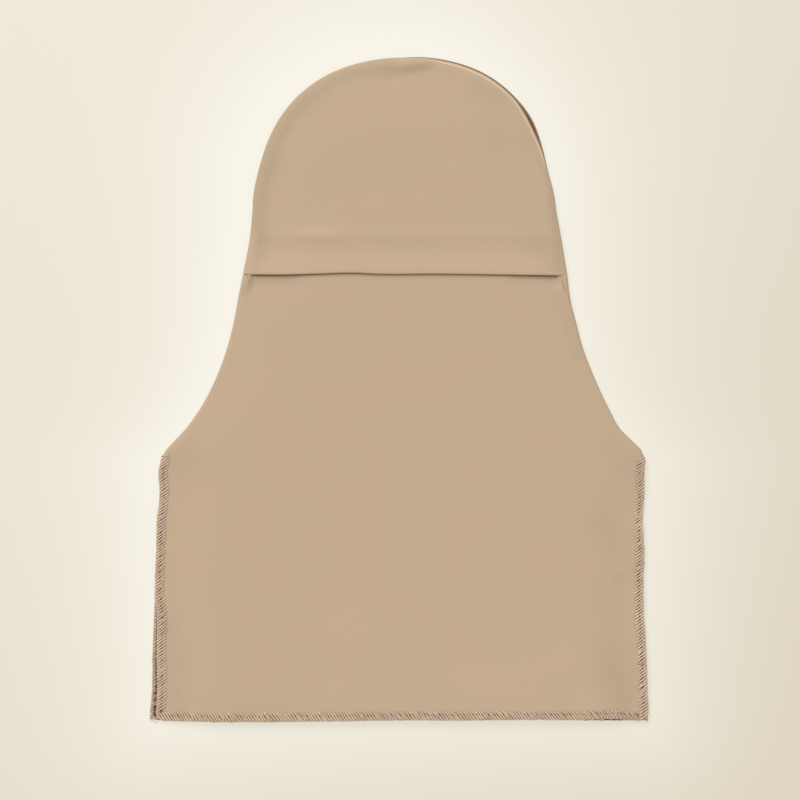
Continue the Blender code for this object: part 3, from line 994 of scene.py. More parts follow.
    def lip(self, rows: Rows, at_end: Array, before: Array, hand: float) -> tuple[Array, Array]:
        """The lip that turns into the garment at the seam, beyond the end of a panel.

        It leaves along the panel's own direction, bends through a quarter turn towards the
        inside and goes straight on. Where the edge lies flat it goes on flat.

        Args:
            rows: The rows.
            at_end: The last point of each row.
            before: The point before it.
            hand: 1 for a front panel, -1 for the back one, whose inside is above it.

        Returns:
            The lip's points, and how far each column lies past the panel's end.
        """
        ply, rolled = self.plies, spread(self.rolled(rows.y))
        along = unit(at_end - before)
        outwards = np.concatenate((-rows.inward, np.zeros((len(rows.y), 1))), axis=1)
        level = np.sum(along * outwards, axis=1, keepdims=True)
        up = np.array((0.0, 0.0, 1.0))
        inner = hand * (along[:, 2:] * outwards - level * up)
        arc = np.linspace(0, ply.lip_arc, ply.lip_turns + 1)[None, 1:]
        out, aside = arc_step(0.0, rolled * SQUARE / ply.lip_arc, arc)
        straight = np.linspace(0, ply.lip_depth, ply.lip_straights + 1)[None, 1:] * rolled
        turn = rolled * SQUARE
        out = np.concatenate((out, out[:, -1:] + straight * np.cos(turn)), axis=1)
        aside = np.concatenate((aside, aside[:, -1:] + straight * np.sin(turn)), axis=1)
        points = at_end[:, None] + out[..., None] * along[:, None] + aside[..., None] * inner[:, None]
        past = np.concatenate((arc + 0 * rolled, ply.lip_arc + straight), axis=1)
        return points, past

    def half(self, rows: Rows, near: int, far: int) -> tuple[Array, Array, Array]:
        """Grids of one half of the panel, from the spine to the end of the seam's lip.

        Args:
            rows: The rows.
            near: The number of columns near the edge.
            far: The number of columns over the level middle.

        Returns:
            The points in the garment's own frame, their places on the flat cut cloth, and the
            distances of the columns.
        """
        widest = np.linalg.norm(self.start(rows) - rows.spine, axis=1)
        distance = self.columns(rows, widest, near, far)
        section = self.across(rows, distance)
        points, past = self.lip(rows, section.place[:, -1], section.place[:, -2], self.hand)
        beyond = section.flat[:, -1:] - past[..., None] * rows.inward[:, None]
        place = np.concatenate((section.place, points), axis=1)
        flat = np.concatenate((section.flat, beyond), axis=1)
        mirror = np.array((rows.side.value, 1.0, 1.0))
        distance = np.concatenate((distance, distance[:, -1:] - past), axis=1)
        return place * mirror, flat * mirror[:2], distance

    @property
    def hand(self) -> float:
        """1 for a front panel, whose inside is below it."""
        return 1.0


@dataclass(frozen=True)
class CrownSheet(Panel):
    """The crown front arches over the hollow, a little higher above its turned hem."""

    layer: Layer = Layer.CROWN

    def middle(self, y: Array) -> Array:
        """The height of the crown's middle, lower above the turned hem."""
        turned = y - self.outline.slit_y - self.plies.hem_turn
        return mix(self.plies.crown_hem_z, self.plies.crown_z, smooth(turned / self.plies.settle_run))

    def height(self, rows: Rows, distance: Array) -> Array:
        """The height of the rolled front."""
        return self.rolled_height(rows, distance)


@dataclass(frozen=True)
class BibSheet(Panel):
    """The bib front. At the slit it dips under the crown's hem, and at the hem it arches open."""

    layer: Layer = Layer.BIB

    def middle(self, y: Array) -> Array:
        """The height of the bib's middle, highest at the open hem."""
        share = smooth((y - self.outline.hem_y) / self.plies.mouth_run)
        return mix(self.plies.mouth_z, self.plies.bib_z, share)

    def height(self, rows: Rows, distance: Array) -> Array:
        """The height: flat edges below the shoulder, rolled ones above, and the dip at the slit.

        Args:
            rows: The rows.
            distance: Distances from the start of the roll, a row for each.

        Returns:
            The heights.
        """
        ply, slit = self.plies, self.outline.slit_y
        inside = smooth((distance - ply.casing_clear) / ply.reach)
        flat = mix(ply.front_edge_z, spread(self.middle(rows.y)), inside)
        top = self.outline.shoulder_y + ply.unroll_above
        rolled = smooth((rows.y - top + ply.level_run) / ply.level_run)
        laid = mix(flat, self.rolled_height(rows, distance), spread(rolled))
        under = replace(rows, y=np.maximum(rows.y, slit))
        tucked = CrownSheet(self.outline, ply).height(under, distance) - 2 * ply.layer
        down = smooth((rows.y - (slit - ply.dip_run)) / (ply.dip_run - 2 * ply.cloth))
        run = ply.tuck_inset - ply.casing_clear
        return mix(laid, tucked, spread(down) * smooth((distance - ply.casing_clear) / run))


@dataclass(frozen=True)
class BackSheet(Panel):
    """The back panel lies on the floor, and only its overlocked edges lift off it."""

    layer: Layer = Layer.BACK

    @property
    def hand(self) -> float:
        """-1, because the inside lies above the back panel."""
        return -1.0

    def middle(self, y: Array) -> Array:
        """The height of the front panel that carries the seam, from which the roll's slope comes."""
        crown = CrownSheet(self.outline, self.plies).middle(y)
        bib = BibSheet(self.outline, self.plies).middle(y)
        return np.where(y > self.outline.slit_y, crown, bib)

    def height(self, rows: Rows, distance: Array) -> Array:
        """The height of the flat panel, with the lift of its overlocked edges.

        Args:
            rows: The rows.
            distance: Distances from the start of the roll, a row for each.

        Returns:
            The heights.
        """
        ply = self.plies
        side = spread(1 - self.rolled(rows.y))
        side = side * (1 - smooth((distance - ply.casing_clear) / ply.lift_run))
        above = rows.y - self.outline.hem_y - ply.overlock_width
        hem = spread(1 - smooth(above / ply.lift_run))
        return mix(ply.back_z, ply.back_edge_z, 1 - (1 - side) * (1 - hem))

    def end(self, rows: Rows) -> Array:
        """The distance from the roll's start, negative outwards, at which the lip turns."""
        ply = self.plies
        return ply.seam_half_gap + ply.lip_radius - ply.roll * SQUARE - self.seam(rows)

    def start(self, rows: Rows) -> Array:
        """The points where the back's roll starts."""
        return rows.outline + rows.inward * self.outline.roll_radius

    def across(self, rows: Rows, distance: Array) -> Section:
        """The back's section: level, then up round the roll, then on along the front's rise.

        Args:
            rows: The rows.
            distance: Distances from the start of the roll, a row for each.

        Returns:
            The section, on the right side of the garment's own frame.
        """
        ply = self.plies
        base = self.start(rows)
        inner = unit(rows.spine - base)
        bend = spread(self.rolled(rows.y) / ply.roll)
        along = np.maximum(-distance, 0)
        first = spread(self.front_turn(rows))
        over = np.maximum(along - ply.roll * (2 * SQUARE - first), 0) * (bend > 0)
        out, lift = arc_step(0.0, bend, along - over)
        inside = np.maximum(distance, 0)[..., None] * inner[:, None]
        place = base[:, None] + inside - out[..., None] * rows.inward[:, None]
        z = self.height(rows, np.maximum(distance, 0)) + lift
        place = np.concatenate((place, z[..., None]), axis=-1)
        on_crown = CrownSheet(self.outline, ply).across(rows, over).place
        on_bib = BibSheet(self.outline, ply).across(rows, over).place
        past = np.where(spread(rows.y > self.outline.slit_y)[..., None], on_crown, on_bib)
        place = np.where((over > 0)[..., None], past, place)
        flat = base[:, None] + inside - along[..., None] * rows.inward[:, None]
        turned = np.where(distance < 0, bend * along, 0.0)
        sideways = rows.inward[:, None] * np.sin(turned)[..., None]
        normal = np.concatenate((sideways, np.cos(turned)[..., None]), axis=-1)
        return Section(place, normal, flat)


class Shade:
    """A socket in a material, on which arithmetic adds Math nodes."""

    def __init__(self, graph: "Graph", socket: bpy.types.NodeSocket) -> None:
        """Keeps the socket and the graph that it belongs to."""
        self.graph = graph
        self.socket = socket

    def _math(self, operation: str, *values: "Shade | float") -> "Shade":
        """A Math node on the values."""
        return self.graph.add("ShaderNodeMath", {"operation": operation}, dict(enumerate(values)))

    def __add__(self, other: "Shade | float") -> "Shade":
        """The sum."""
        return self._math("ADD", self, other)

    def __sub__(self, other: "Shade | float") -> "Shade":
        """The difference."""
        return self._math("SUBTRACT", self, other)

    def __rsub__(self, other: float) -> "Shade":
        """The difference from a number."""
        return self._math("SUBTRACT", other, self)

    def __mul__(self, other: "Shade | float") -> "Shade":
        """The product."""
        return self._math("MULTIPLY", self, other)

    def __truediv__(self, other: "Shade | float") -> "Shade":
        """The quotient."""
        return self._math("DIVIDE", self, other)

    __radd__ = __add__
    __rmul__ = __mul__

    def sine(self) -> "Shade":
        """The sine."""
        return self._math("SINE", self)

    def fraction(self) -> "Shade":
        """What is left over whole numbers."""
        return self._math("FRACT", self)

    def size(self) -> "Shade":
        """The value without its sign."""
        return self._math("ABSOLUTE", self)


def weighed(parts: Sequence[Shade], shares: Sequence[float]) -> Shade:
    """The sum of the parts, each times its share."""
    first, *rest = (part * share for part, share in zip(parts, shares))
    return sum(rest, first)


def rgba(colour: Colour | Shade) -> tuple[float, ...] | Shade:
    """A colour with its alpha, or a socket as it is."""
    return (*colour, 1.0) if isinstance(colour, tuple) else colour


class Graph:
    """A material's nodes, with its Principled shader."""

    def __init__(self, name: str) -> None:
        """Makes the material.

        Args:
            name: The material's name.
        """
        self.material = bpy.data.materials.new(name)
        self.material.use_nodes = True
        self.tree = self.material.node_tree
        self.shader = self.tree.nodes["Principled BSDF"]

    def fill(self, node: bpy.types.Node, values: Mapping) -> None:
        """Sets a node's input sockets.

        Args:
            node: The node.
            values: Numbers, colours or sockets, by the inputs' names or numbers.
        """
        for key, value in values.items():
            if isinstance(value, Shade):
                self.tree.links.new(value.socket, node.inputs[key])
            else:
                node.inputs[key].default_value = value

    def add(self, kind: str, settings: Mapping, values: Mapping, output: int | str = 0) -> Shade:
        """Adds a node.

        Args:
            kind: The node's type.
            settings: Its properties, which are set first.
            values: Its inputs, by name or number.
            output: The output that is wanted.

        Returns:
            That output.
        """
        node = self.tree.nodes.new(kind)
        for key, value in settings.items():
            setattr(node, key, value)
        self.fill(node, values)
        return Shade(self, node.outputs[output])

    def mark(self, name: str) -> Shade:
        """The value of a mesh's own attribute."""
        return self.add("ShaderNodeAttribute", {"attribute_name": name}, {}, "Fac")

    def place(self) -> Shade:
        """The place in metres, which is the object's own frame."""
        return self.add("ShaderNodeTexCoord", {}, {}, "Object")

    def flat(self, name: str) -> Shade:
        """The coordinates of a mesh's map."""
        return self.add("ShaderNodeUVMap", {"uv_map": name}, {}, "UV")

    def part(self, vector: Shade, axis: str) -> Shade:
        """One axis of a vector."""
        return self.add("ShaderNodeSeparateXYZ", {}, {"Vector": vector}, axis)

    def noise(self, at: Shade, scale: float, detail: float) -> Shade:
        """Noise from 0 to 1 whose grains are about a metre divided by the scale."""
        values = {"Vector": at, "Scale": scale, "Detail": detail, "Roughness": 0.55}
        return self.add("ShaderNodeTexNoise", {}, values, "Fac")

    def blend(self, share: Shade | float, low: Colour | Shade, high: Colour | Shade,
              within: bool = True) -> Shade:
        """A colour between two others, or also past them where it isn't kept within."""
        values = {0: share, 6: rgba(low), 7: rgba(high)}
        return self.add("ShaderNodeMix", {"data_type": "RGBA", "clamp_factor": within}, values, 2)

    def multiply(self, low: Shade, high: Colour | Shade) -> Shade:
        """The product of two colours."""
        settings = {"data_type": "RGBA", "blend_type": "MULTIPLY"}
        return self.add("ShaderNodeMix", settings, {0: 1.0, 6: low, 7: rgba(high)}, 2)

    def relief(self, height: Shade, depth: float, strength: float) -> Shade:
        """A Bump node's normal for a height from 0 to 1 that stands for a depth in metres."""
        values = {"Height": height, "Distance": depth, "Strength": strength}
        return self.add("ShaderNodeBump", {}, values, "Normal")

    def surface(self, values: Mapping) -> bpy.types.Material:
        """Sets the shader's own sockets and returns the material."""
        self.fill(self.shader, values)
        return self.material


@dataclass(frozen=True)
class Jersey:
    """Fine matt jersey: columns of small V stitches, a soft bloom, slight clouds in the dye, and
    painted shade and painted light.
    """

    pale: Colour = (0.622, 0.458, 0.326)
    deep: Colour = (0.572, 0.417, 0.293)
    # The knit's hollows are painted darker towards this colour, a painted shade.
    groove: Colour = (0.440, 0.312, 0.212)
    # The colour of the painted shade.
    shade: Colour = (0.115, 0.054, 0.010)
    # The next two tints stand for the dye's clouds, and also for painted light and painted shade.
    lighter: Colour = (1.05, 1.04, 1.04)
    olive_tone_and_painted_shade: Colour = (0.83, 0.87, 0.83)
    wale: float = 0.00055
    course: float = 0.00045
    leg_lean: float = 0.5
    knit_shares: tuple[float, ...] = (0.55, 0.45)
    tone_shares: tuple[float, ...] = (0.35, 0.35, 0.30)
    height_shares: tuple[float, ...] = (0.55, 0.25, 0.20)
    groove_share: float = 0.22
    cloud_cast: float = 0.6
    shade_share: float = 0.90
    shade_play: float = 0.25
    gloss: float = 0.22
    roughness: float = 0.86
    roughness_play: float = 0.12
    bloom: float = 0.10
    bloom_tint: Colour = (0.90, 0.80, 0.68)
    relief: float = 0.00010
    fuzz_scale: float = 2600.0
    slub_scale: float = 260.0
    patch_scale: float = 55.0
    cloud_scale: float = 16.0

    def material(self, name: str) -> bpy.types.Material:
        """The material, whose knit follows the cloth's own flat coordinates.

        Args:
            name: Its name.

        Returns:
            The material.
        """
        graph = Graph(name)
        flat = graph.flat("cloth")
        u, v = graph.part(flat, "X"), graph.part(flat, "Y")
        place = graph.place()
        leg = ((u / self.wale).fraction() * 2 - 1).size()
        stitch = ((v / self.course + leg * self.leg_lean) * TURN).sine() * 0.5 + 0.5
        knit = weighed((stitch, 1 - leg * leg), self.knit_shares)
        fuzz = graph.noise(place, self.fuzz_scale, 2.0)
        slub = graph.noise(place, self.slub_scale, 4.0)
        clouds = graph.noise(place, self.cloud_scale, 3.0)
        # Painted shade from the mesh's mark: gaps between stitches, the seam's groove, the fold's
        # crevice and hidden cloth.
        painted_shade = graph.mark("painted_shade")
        dyed = graph.blend(weighed((clouds, slub, fuzz), self.tone_shares), self.deep, self.pale)
        # Painted shade in the knit's hollows.
        knit_with_painted_shade = graph.blend((1 - knit) * self.groove_share, dyed, self.groove)
        patch = graph.noise(place, self.patch_scale, 2.0) * 1.6 - 0.8
        # Painted shading from the mesh's mark, mixed with the dye's clouds: greenish painted shade, or
        # paler painted light.
        cast = graph.mark("cast")
        tone_and_painted_light = (cast + (clouds - 0.5) * self.cloud_cast) * 0.5 + 0.5
        tone_with_painted_light = graph.multiply(knit_with_painted_shade, graph.blend(tone_and_painted_light, self.lighter, self.olive_tone_and_painted_shade))
        # Mixed in unclamped, so that a negative mark paints a highlight.
        shaded = painted_shade * (patch * self.shade_play + self.shade_share)
        height = weighed((knit, fuzz, slub), self.height_shares)
        return graph.surface({
            "Base Color": graph.blend(shaded, tone_with_painted_light, self.shade, within=False),
            "Roughness": self.roughness + (fuzz - 0.5) * self.roughness_play,
            "Specular IOR Level": self.gloss,
            "Sheen Weight": self.bloom,
            "Sheen Roughness": 0.5,
            "Sheen Tint": rgba(self.bloom_tint),
            "Normal": graph.relief(height, self.relief, 0.45),
        })


@dataclass(frozen=True)
class OverlockThread:
    """Soft overlock thread: two plies twisted together, a little paler than the cloth, and painted
    darker where it lies in shade.
    """

    pale: Colour = (0.900, 0.735, 0.575)
    deep: Colour = (0.540, 0.393, 0.275)
    # The colour of the painted shade on the thread.
    gloom: Colour = (0.080, 0.038, 0.008)
    twist: float = 0.0011
    tone_shares: tuple[float, ...] = (0.30, 0.20, 0.50)
    height_shares: tuple[float, ...] = (0.8, 0.2)
    gloss: float = 0.30
    roughness: float = 0.66
    roughness_play: float = 0.10
    bloom: float = 0.10
    bloom_tint: Colour = (0.80, 0.62, 0.44)
    relief: float = 0.00008
    fibre_scale: float = 3200.0
    stain_scale: float = 110.0

    def material(self, name: str) -> bpy.types.Material:
        """The material, whose plies wind along the strand's own coordinates.

        Args:
            name: Its name.

        Returns:
            The material.
        """
        graph = Graph(name)
        strand = graph.flat("strand")
        along, around = graph.part(strand, "X"), graph.part(strand, "Y")
        ply = ((along / self.twist + around * 2) * TURN).sine() * 0.5 + 0.5
        place = graph.place()
        fibre = graph.noise(place, self.fibre_scale, 2.0)
        stain = graph.noise(place, self.stain_scale, 2.0) * 2.2 - 0.6
        tone = weighed((ply, fibre, stain), self.tone_shares)
        dyed = graph.blend(tone, self.deep, self.pale)
        height = weighed((ply, fibre), self.height_shares)
        return graph.surface({
            # Painted shade darkens the thread by the mesh's mark.
            "Base Color": graph.blend(graph.mark("painted_shade"), dyed, self.gloom),
            "Roughness": self.roughness + (fibre - 0.5) * self.roughness_play,
            "Specular IOR Level": self.gloss,
            "Sheen Weight": self.bloom,
            "Sheen Tint": rgba(self.bloom_tint),
            "Normal": graph.relief(height, self.relief, 0.6),
        })


@dataclass(frozen=True)
class PaleFloor:
    """A cream floor that gives off part of its colour as a painted glow that thins the shadows, with
    painted light round the garment and to its upper left.
    """

    light: Colour = (0.940, 0.909, 0.820)
    dim: Colour = (0.733, 0.675, 0.546)
    share: float = 0.19
    # How the painted light grows near the garment, to the left and upwards.
    by_near_x_y: tuple[float, ...] = (0.74, -0.57, 0.69)
    # The share of its colour that the floor gives off as a painted glow.
    glow: float = 0.72
    roughness: float = 0.80
    relief: float = 0.00005
    grain_scale: float = 900.0

    def material(self, name: str) -> bpy.types.Material:
        """The material, which mixes its two creams by the floor's own attribute and by place, as
        painted light.

        Args:
            name: Its name.

        Returns:
            The material.
        """
        graph = Graph(name)
        near, place = graph.mark("near"), graph.place()
        x, y = graph.part(place, "X"), graph.part(place, "Y")
        share = weighed((near, x, y), self.by_near_x_y) + self.share
        grain = graph.noise(place, self.grain_scale, 2.0)
        cream = graph.blend(share, self.dim, self.light)
        # The floor reflects the rest of its cream and gives off the glow share as a painted glow.
        rest = 1 - self.glow
        return graph.surface({
            "Base Color": graph.multiply(cream, (rest, rest, rest)),
            "Emission Color": cream,
            "Emission Strength": self.glow,
            "Roughness": self.roughness + (grain - 0.5) * 0.1,
            "Specular IOR Level": 0.15,
            "Normal": graph.relief(grain, self.relief, 0.2),
        })


class Grid(NamedTuple):
    """A grid of points with its coordinates on the flat cloth, or along and round a strand."""

    points: Array
    flat: Array
    # How much painted shade each point carries, painted light where negative; on the floor, how near
    # the garment lies.
    mark: Array
    ring: bool = False


def grid_faces(grid: Grid, first: int) -> tuple[Array, Array]:
    """The quads of a grid, which close to the first column again where it is a ring.

    Args:
        grid: The grid.
        first: The number of its first point.

    Returns:
        The corner numbers of each quad, and 1 for the corners that lie a whole turn further round.
    """
    rows, columns = grid.points.shape[:2]
    row, column = np.meshgrid(np.arange(rows - 1), np.arange(columns - (not grid.ring)), indexing="ij")
    following = (column + 1) % columns
    low, high = first + row * columns, first + (row + 1) * columns
    quads = np.stack((low + column, low + following, high + following, high + column), axis=-1)
    turned = (following < column).astype(float)
    none = np.zeros_like(turned)
    return quads.reshape(-1, 4), np.stack((none, turned, turned, none), axis=-1).reshape(-1)


def mesh_object(name: str, grids: Iterable[Grid], uv_name: str, tolerance: float) -> bpy.types.Object:
    """Joins grids into one mesh, merges shared points, closes small ends, turns faces outwards.

    Args:
        name: The piece's name.
        grids: The grids, in world coordinates.
        uv_name: The name of the map that holds their flat coordinates.
        tolerance: How near two points are merged, or 0 where none are.

    Returns:
        The new object, smooth-shaded, at the origin.
    """
    points, flats, marks, faces, turns, first = [], [], [], [], [], 0
    for grid in grids:
        quads, turned = grid_faces(grid, first)
        faces.append(quads)
        turns.append(turned)
        points.append(grid.points.reshape(-1, 3))
        flats.append(grid.flat.reshape(-1, 2))
        marks.append(grid.mark.reshape(-1))
        first += len(points[-1])
    quads, flat = np.concatenate(faces), np.concatenate(flats)
    corners = flat[quads.reshape(-1)]
    corners[:, 1] += np.concatenate(turns)
    mesh = bpy.data.meshes.new(name)
    mesh.from_pydata(np.concatenate(points), [], quads)
    layer = mesh.uv_layers.new(name=uv_name)
    layer.uv.foreach_set("vector", corners.astype(np.float32).reshape(-1))
    # This mark becomes painted shade in the material, and painted light where negative.
    mark = mesh.attributes.new("painted_shade", "FLOAT", "POINT")
    mark.data.foreach_set("value", np.concatenate(marks).astype(np.float32))
    work = bmesh.new()
    work.from_mesh(mesh)
    if tolerance:
        bmesh.ops.remove_doubles(work, verts=work.verts, dist=tolerance)
    ends = [edge for edge in work.edges if edge.is_boundary]
    bmesh.ops.holes_fill(work, edges=ends, sides=END_SIDES)
    bmesh.ops.recalc_face_normals(work, faces=work.faces)
    work.to_mesh(mesh)
    work.free()
    mesh.shade_smooth()
    made = bpy.data.objects.new(name, mesh)
    bpy.context.scene.collection.objects.link(made)
    return made


def surface_area(points: Array) -> float:
    """The area of a grid: half the cross product of each cell's diagonals."""
    one, other = points[1:, 1:] - points[:-1, :-1], points[:-1, 1:] - points[1:, :-1]
    return float(np.linalg.norm(np.cross(one, other), axis=-1).sum() / 2)


RowMaker = Callable[[Side], Rows]


@dataclass(frozen=True)
class Garment:
    """What every sub-assembly of the garment shares: its outline, its plies and how it lies."""

    outline: Outline = field(default_factory=Outline)
    plies: Plies = field(default_factory=Plies)
    lay: Lay = field(default_factory=Lay)
    row_step: float = 0.00175
    fan_rows: int = 82
    merge: float = 0.000002
    stitch_shade_faint: float = 0.18
    stitch_shade_fade: float = 0.0010
    stitch_shade_run: float = 0.0040
    groove_ramp: float = 3.5
    groove_run: float = 0.0060
    rim_from: float = 6.0
    rim_to: float = 68.0
    rim_fade: float = 10.0
    rim_dark: float = 0.95
    rim_start: float = 0.0007
    rim_run: float = 0.0022
    gleam_share: float = 0.60
    gleam_in: float = 0.0011
    gleam_width: float = 0.00045

    @property
    def fold_y(self) -> float:
        """The height at which the crown's hem starts to turn under."""
        return self.outline.slit_y + (self.plies.layer + self.plies.cloth) / 2

    @property
    def bib_stops(self) -> tuple[float, float, float]:
        """Heights at which both bibs need a row: the hem, and the ends of the shoulder's corner."""
        shoulder, corner = self.outline.shoulder_y, self.outline.shoulder_round
        return self.outline.hem_y, shoulder - corner, shoulder + corner

    def heights(self, *stops: float) -> Array:
        """Even row heights between stops, with a row at each stop.

        Args:
            stops: The heights that need a row, from the lowest up.

        Returns:
            All the heights.
        """
        parts = []
        for low, high in zip(stops, stops[1:]):
            count = max(1, math.ceil((high - low) / self.row_step))
            parts.append(np.linspace(low, high, count + 1)[:-1])
        return np.concatenate((*parts, np.array(stops[-1:])))

    def fan(self, side: Side) -> Rows:
        """The rows of the crown, from its side up to its top."""
        return self.outline.fan(np.linspace(90, 0, self.fan_rows), side)

    def over(self, heights: Array) -> RowMaker:
        """What makes a side's rows: level ones at heights, and then the crown's."""
        return lambda side: self.outline.level(heights, side).join(self.fan(side))

    def full(self, sheet: Panel, rows: RowMaker, near: int, far: int) -> tuple[Array, Array, Array]:
        """Grids of whole courses, from the left edge over the spine to the right edge.

        Args:
            sheet: The panel's middle surface.
            rows: Makes the half rows of a side.
            near: The number of columns near each edge.
            far: The number of columns on each side of the level middle.

        Returns:
            The points in the garment's own frame, their places on the flat cut cloth, and the
            distances from the start of the roll.
        """
        left, right = (sheet.half(rows(side), near, far) for side in (Side.LEFT, Side.RIGHT))
        points, flat, distance = (
            np.concatenate((a[:, ::-1], b[:, 1:]), axis=1) for a, b in zip(left, right)
        )
        return points, flat, distance

    def painted_shade(self, flat: Array, distance: Array) -> Array:
        """Painted shade on the cloth in the gaps under the overlock's stitches: most in the middle of
        their width.

        Args:
            flat: The points' places on the flat cut cloth.
            distance: Their distances from the start of the roll.

        Returns:
            A share for each point.
        """
        ply, outline = self.plies, self.outline
        side = np.maximum(distance + ply.edge_flat, 0)
        below = smooth((outline.shoulder_y - flat[..., 1]) / self.stitch_shade_run)
        hem = np.maximum(flat[..., 1] - outline.hem_y, 0)
        depth = np.minimum(mix(1.0, side, below), hem)
        heart = bump((depth - ply.needle_gap) / ply.dark_width)
        inner = 1 - smooth((depth - ply.overlock_width + self.stitch_shade_fade) / self.stitch_shade_fade)
        return np.maximum(heart, self.stitch_shade_faint * inner)

    def groove(self, points: Array) -> Array:
        """Painted shade for the cloth in the groove of the rolled seam: 1 on the lips that turn in.

        Args:
            points: A panel's whole courses, with their lips.

        Returns:
            A share for each point.
        """
        past, lip = np.zeros(points.shape[:2]), self.plies.lip_columns
        ramp = smooth(np.arange(1, lip + 1) / self.groove_ramp)
        past[:, -lip:] = ramp
        past[:, :lip] = ramp[::-1]
        y, slit = points[..., 1], self.outline.slit_y
        low = self.outline.shoulder_y + self.plies.unroll_above
        return past * smooth((y - low) / self.groove_run) * smooth((y - slit) / self.groove_run)

    def over_right(self, points: Array) -> Array:
        """Where the back panel has rolled up past the front, at the crown's upper right.

        Args:
            points: The points, in the garment's own frame.

        Returns:
            1 there, 0 elsewhere.
        """
        rise = np.maximum(points[..., 1] - self.outline.centre_y, self.merge)
        degrees = np.degrees(np.arctan2(points[..., 0], rise))
        last = 1 - smooth((degrees - self.rim_to) / self.rim_fade)
        return smooth((degrees - self.rim_from) / self.rim_fade) * last

    def rim(self, points: Array, distance: Array) -> Array:
        """Painted shade on the back panel's rolled rim: more and more from the outline to the seam."""
        past = -distance - self.plies.roll * SQUARE - self.rim_start
        return self.rim_dark * smooth(past / self.rim_run) * self.over_right(points)

    def gleam(self, points: Array, distance: Array) -> Array:
        """A painted highlight on the front's edge beside that rim, in a fine line inside the seam."""
        edge = distance[:, -self.plies.lip_columns - 1, None]
        line = bump((distance - edge - self.gleam_in) / self.gleam_width)
        return self.gleam_share * line * self.over_right(points)

    def seat(self, made: bpy.types.Object, slot: str, *nodes: str) -> bpy.types.Object:
        """Lets a piece ride on the garment's body in the place of its CAD nodes.

        Args:
            made: The piece.
            slot: Its material slot, which is not used.
            nodes: The nodes that it replaces.

        Returns:
            The piece.
        """
        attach(made, BODY)
        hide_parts(*nodes)
        LOG.info("%s: %d points, %d faces", made.name, len(made.data.vertices), len(made.data.polygons))
        return made


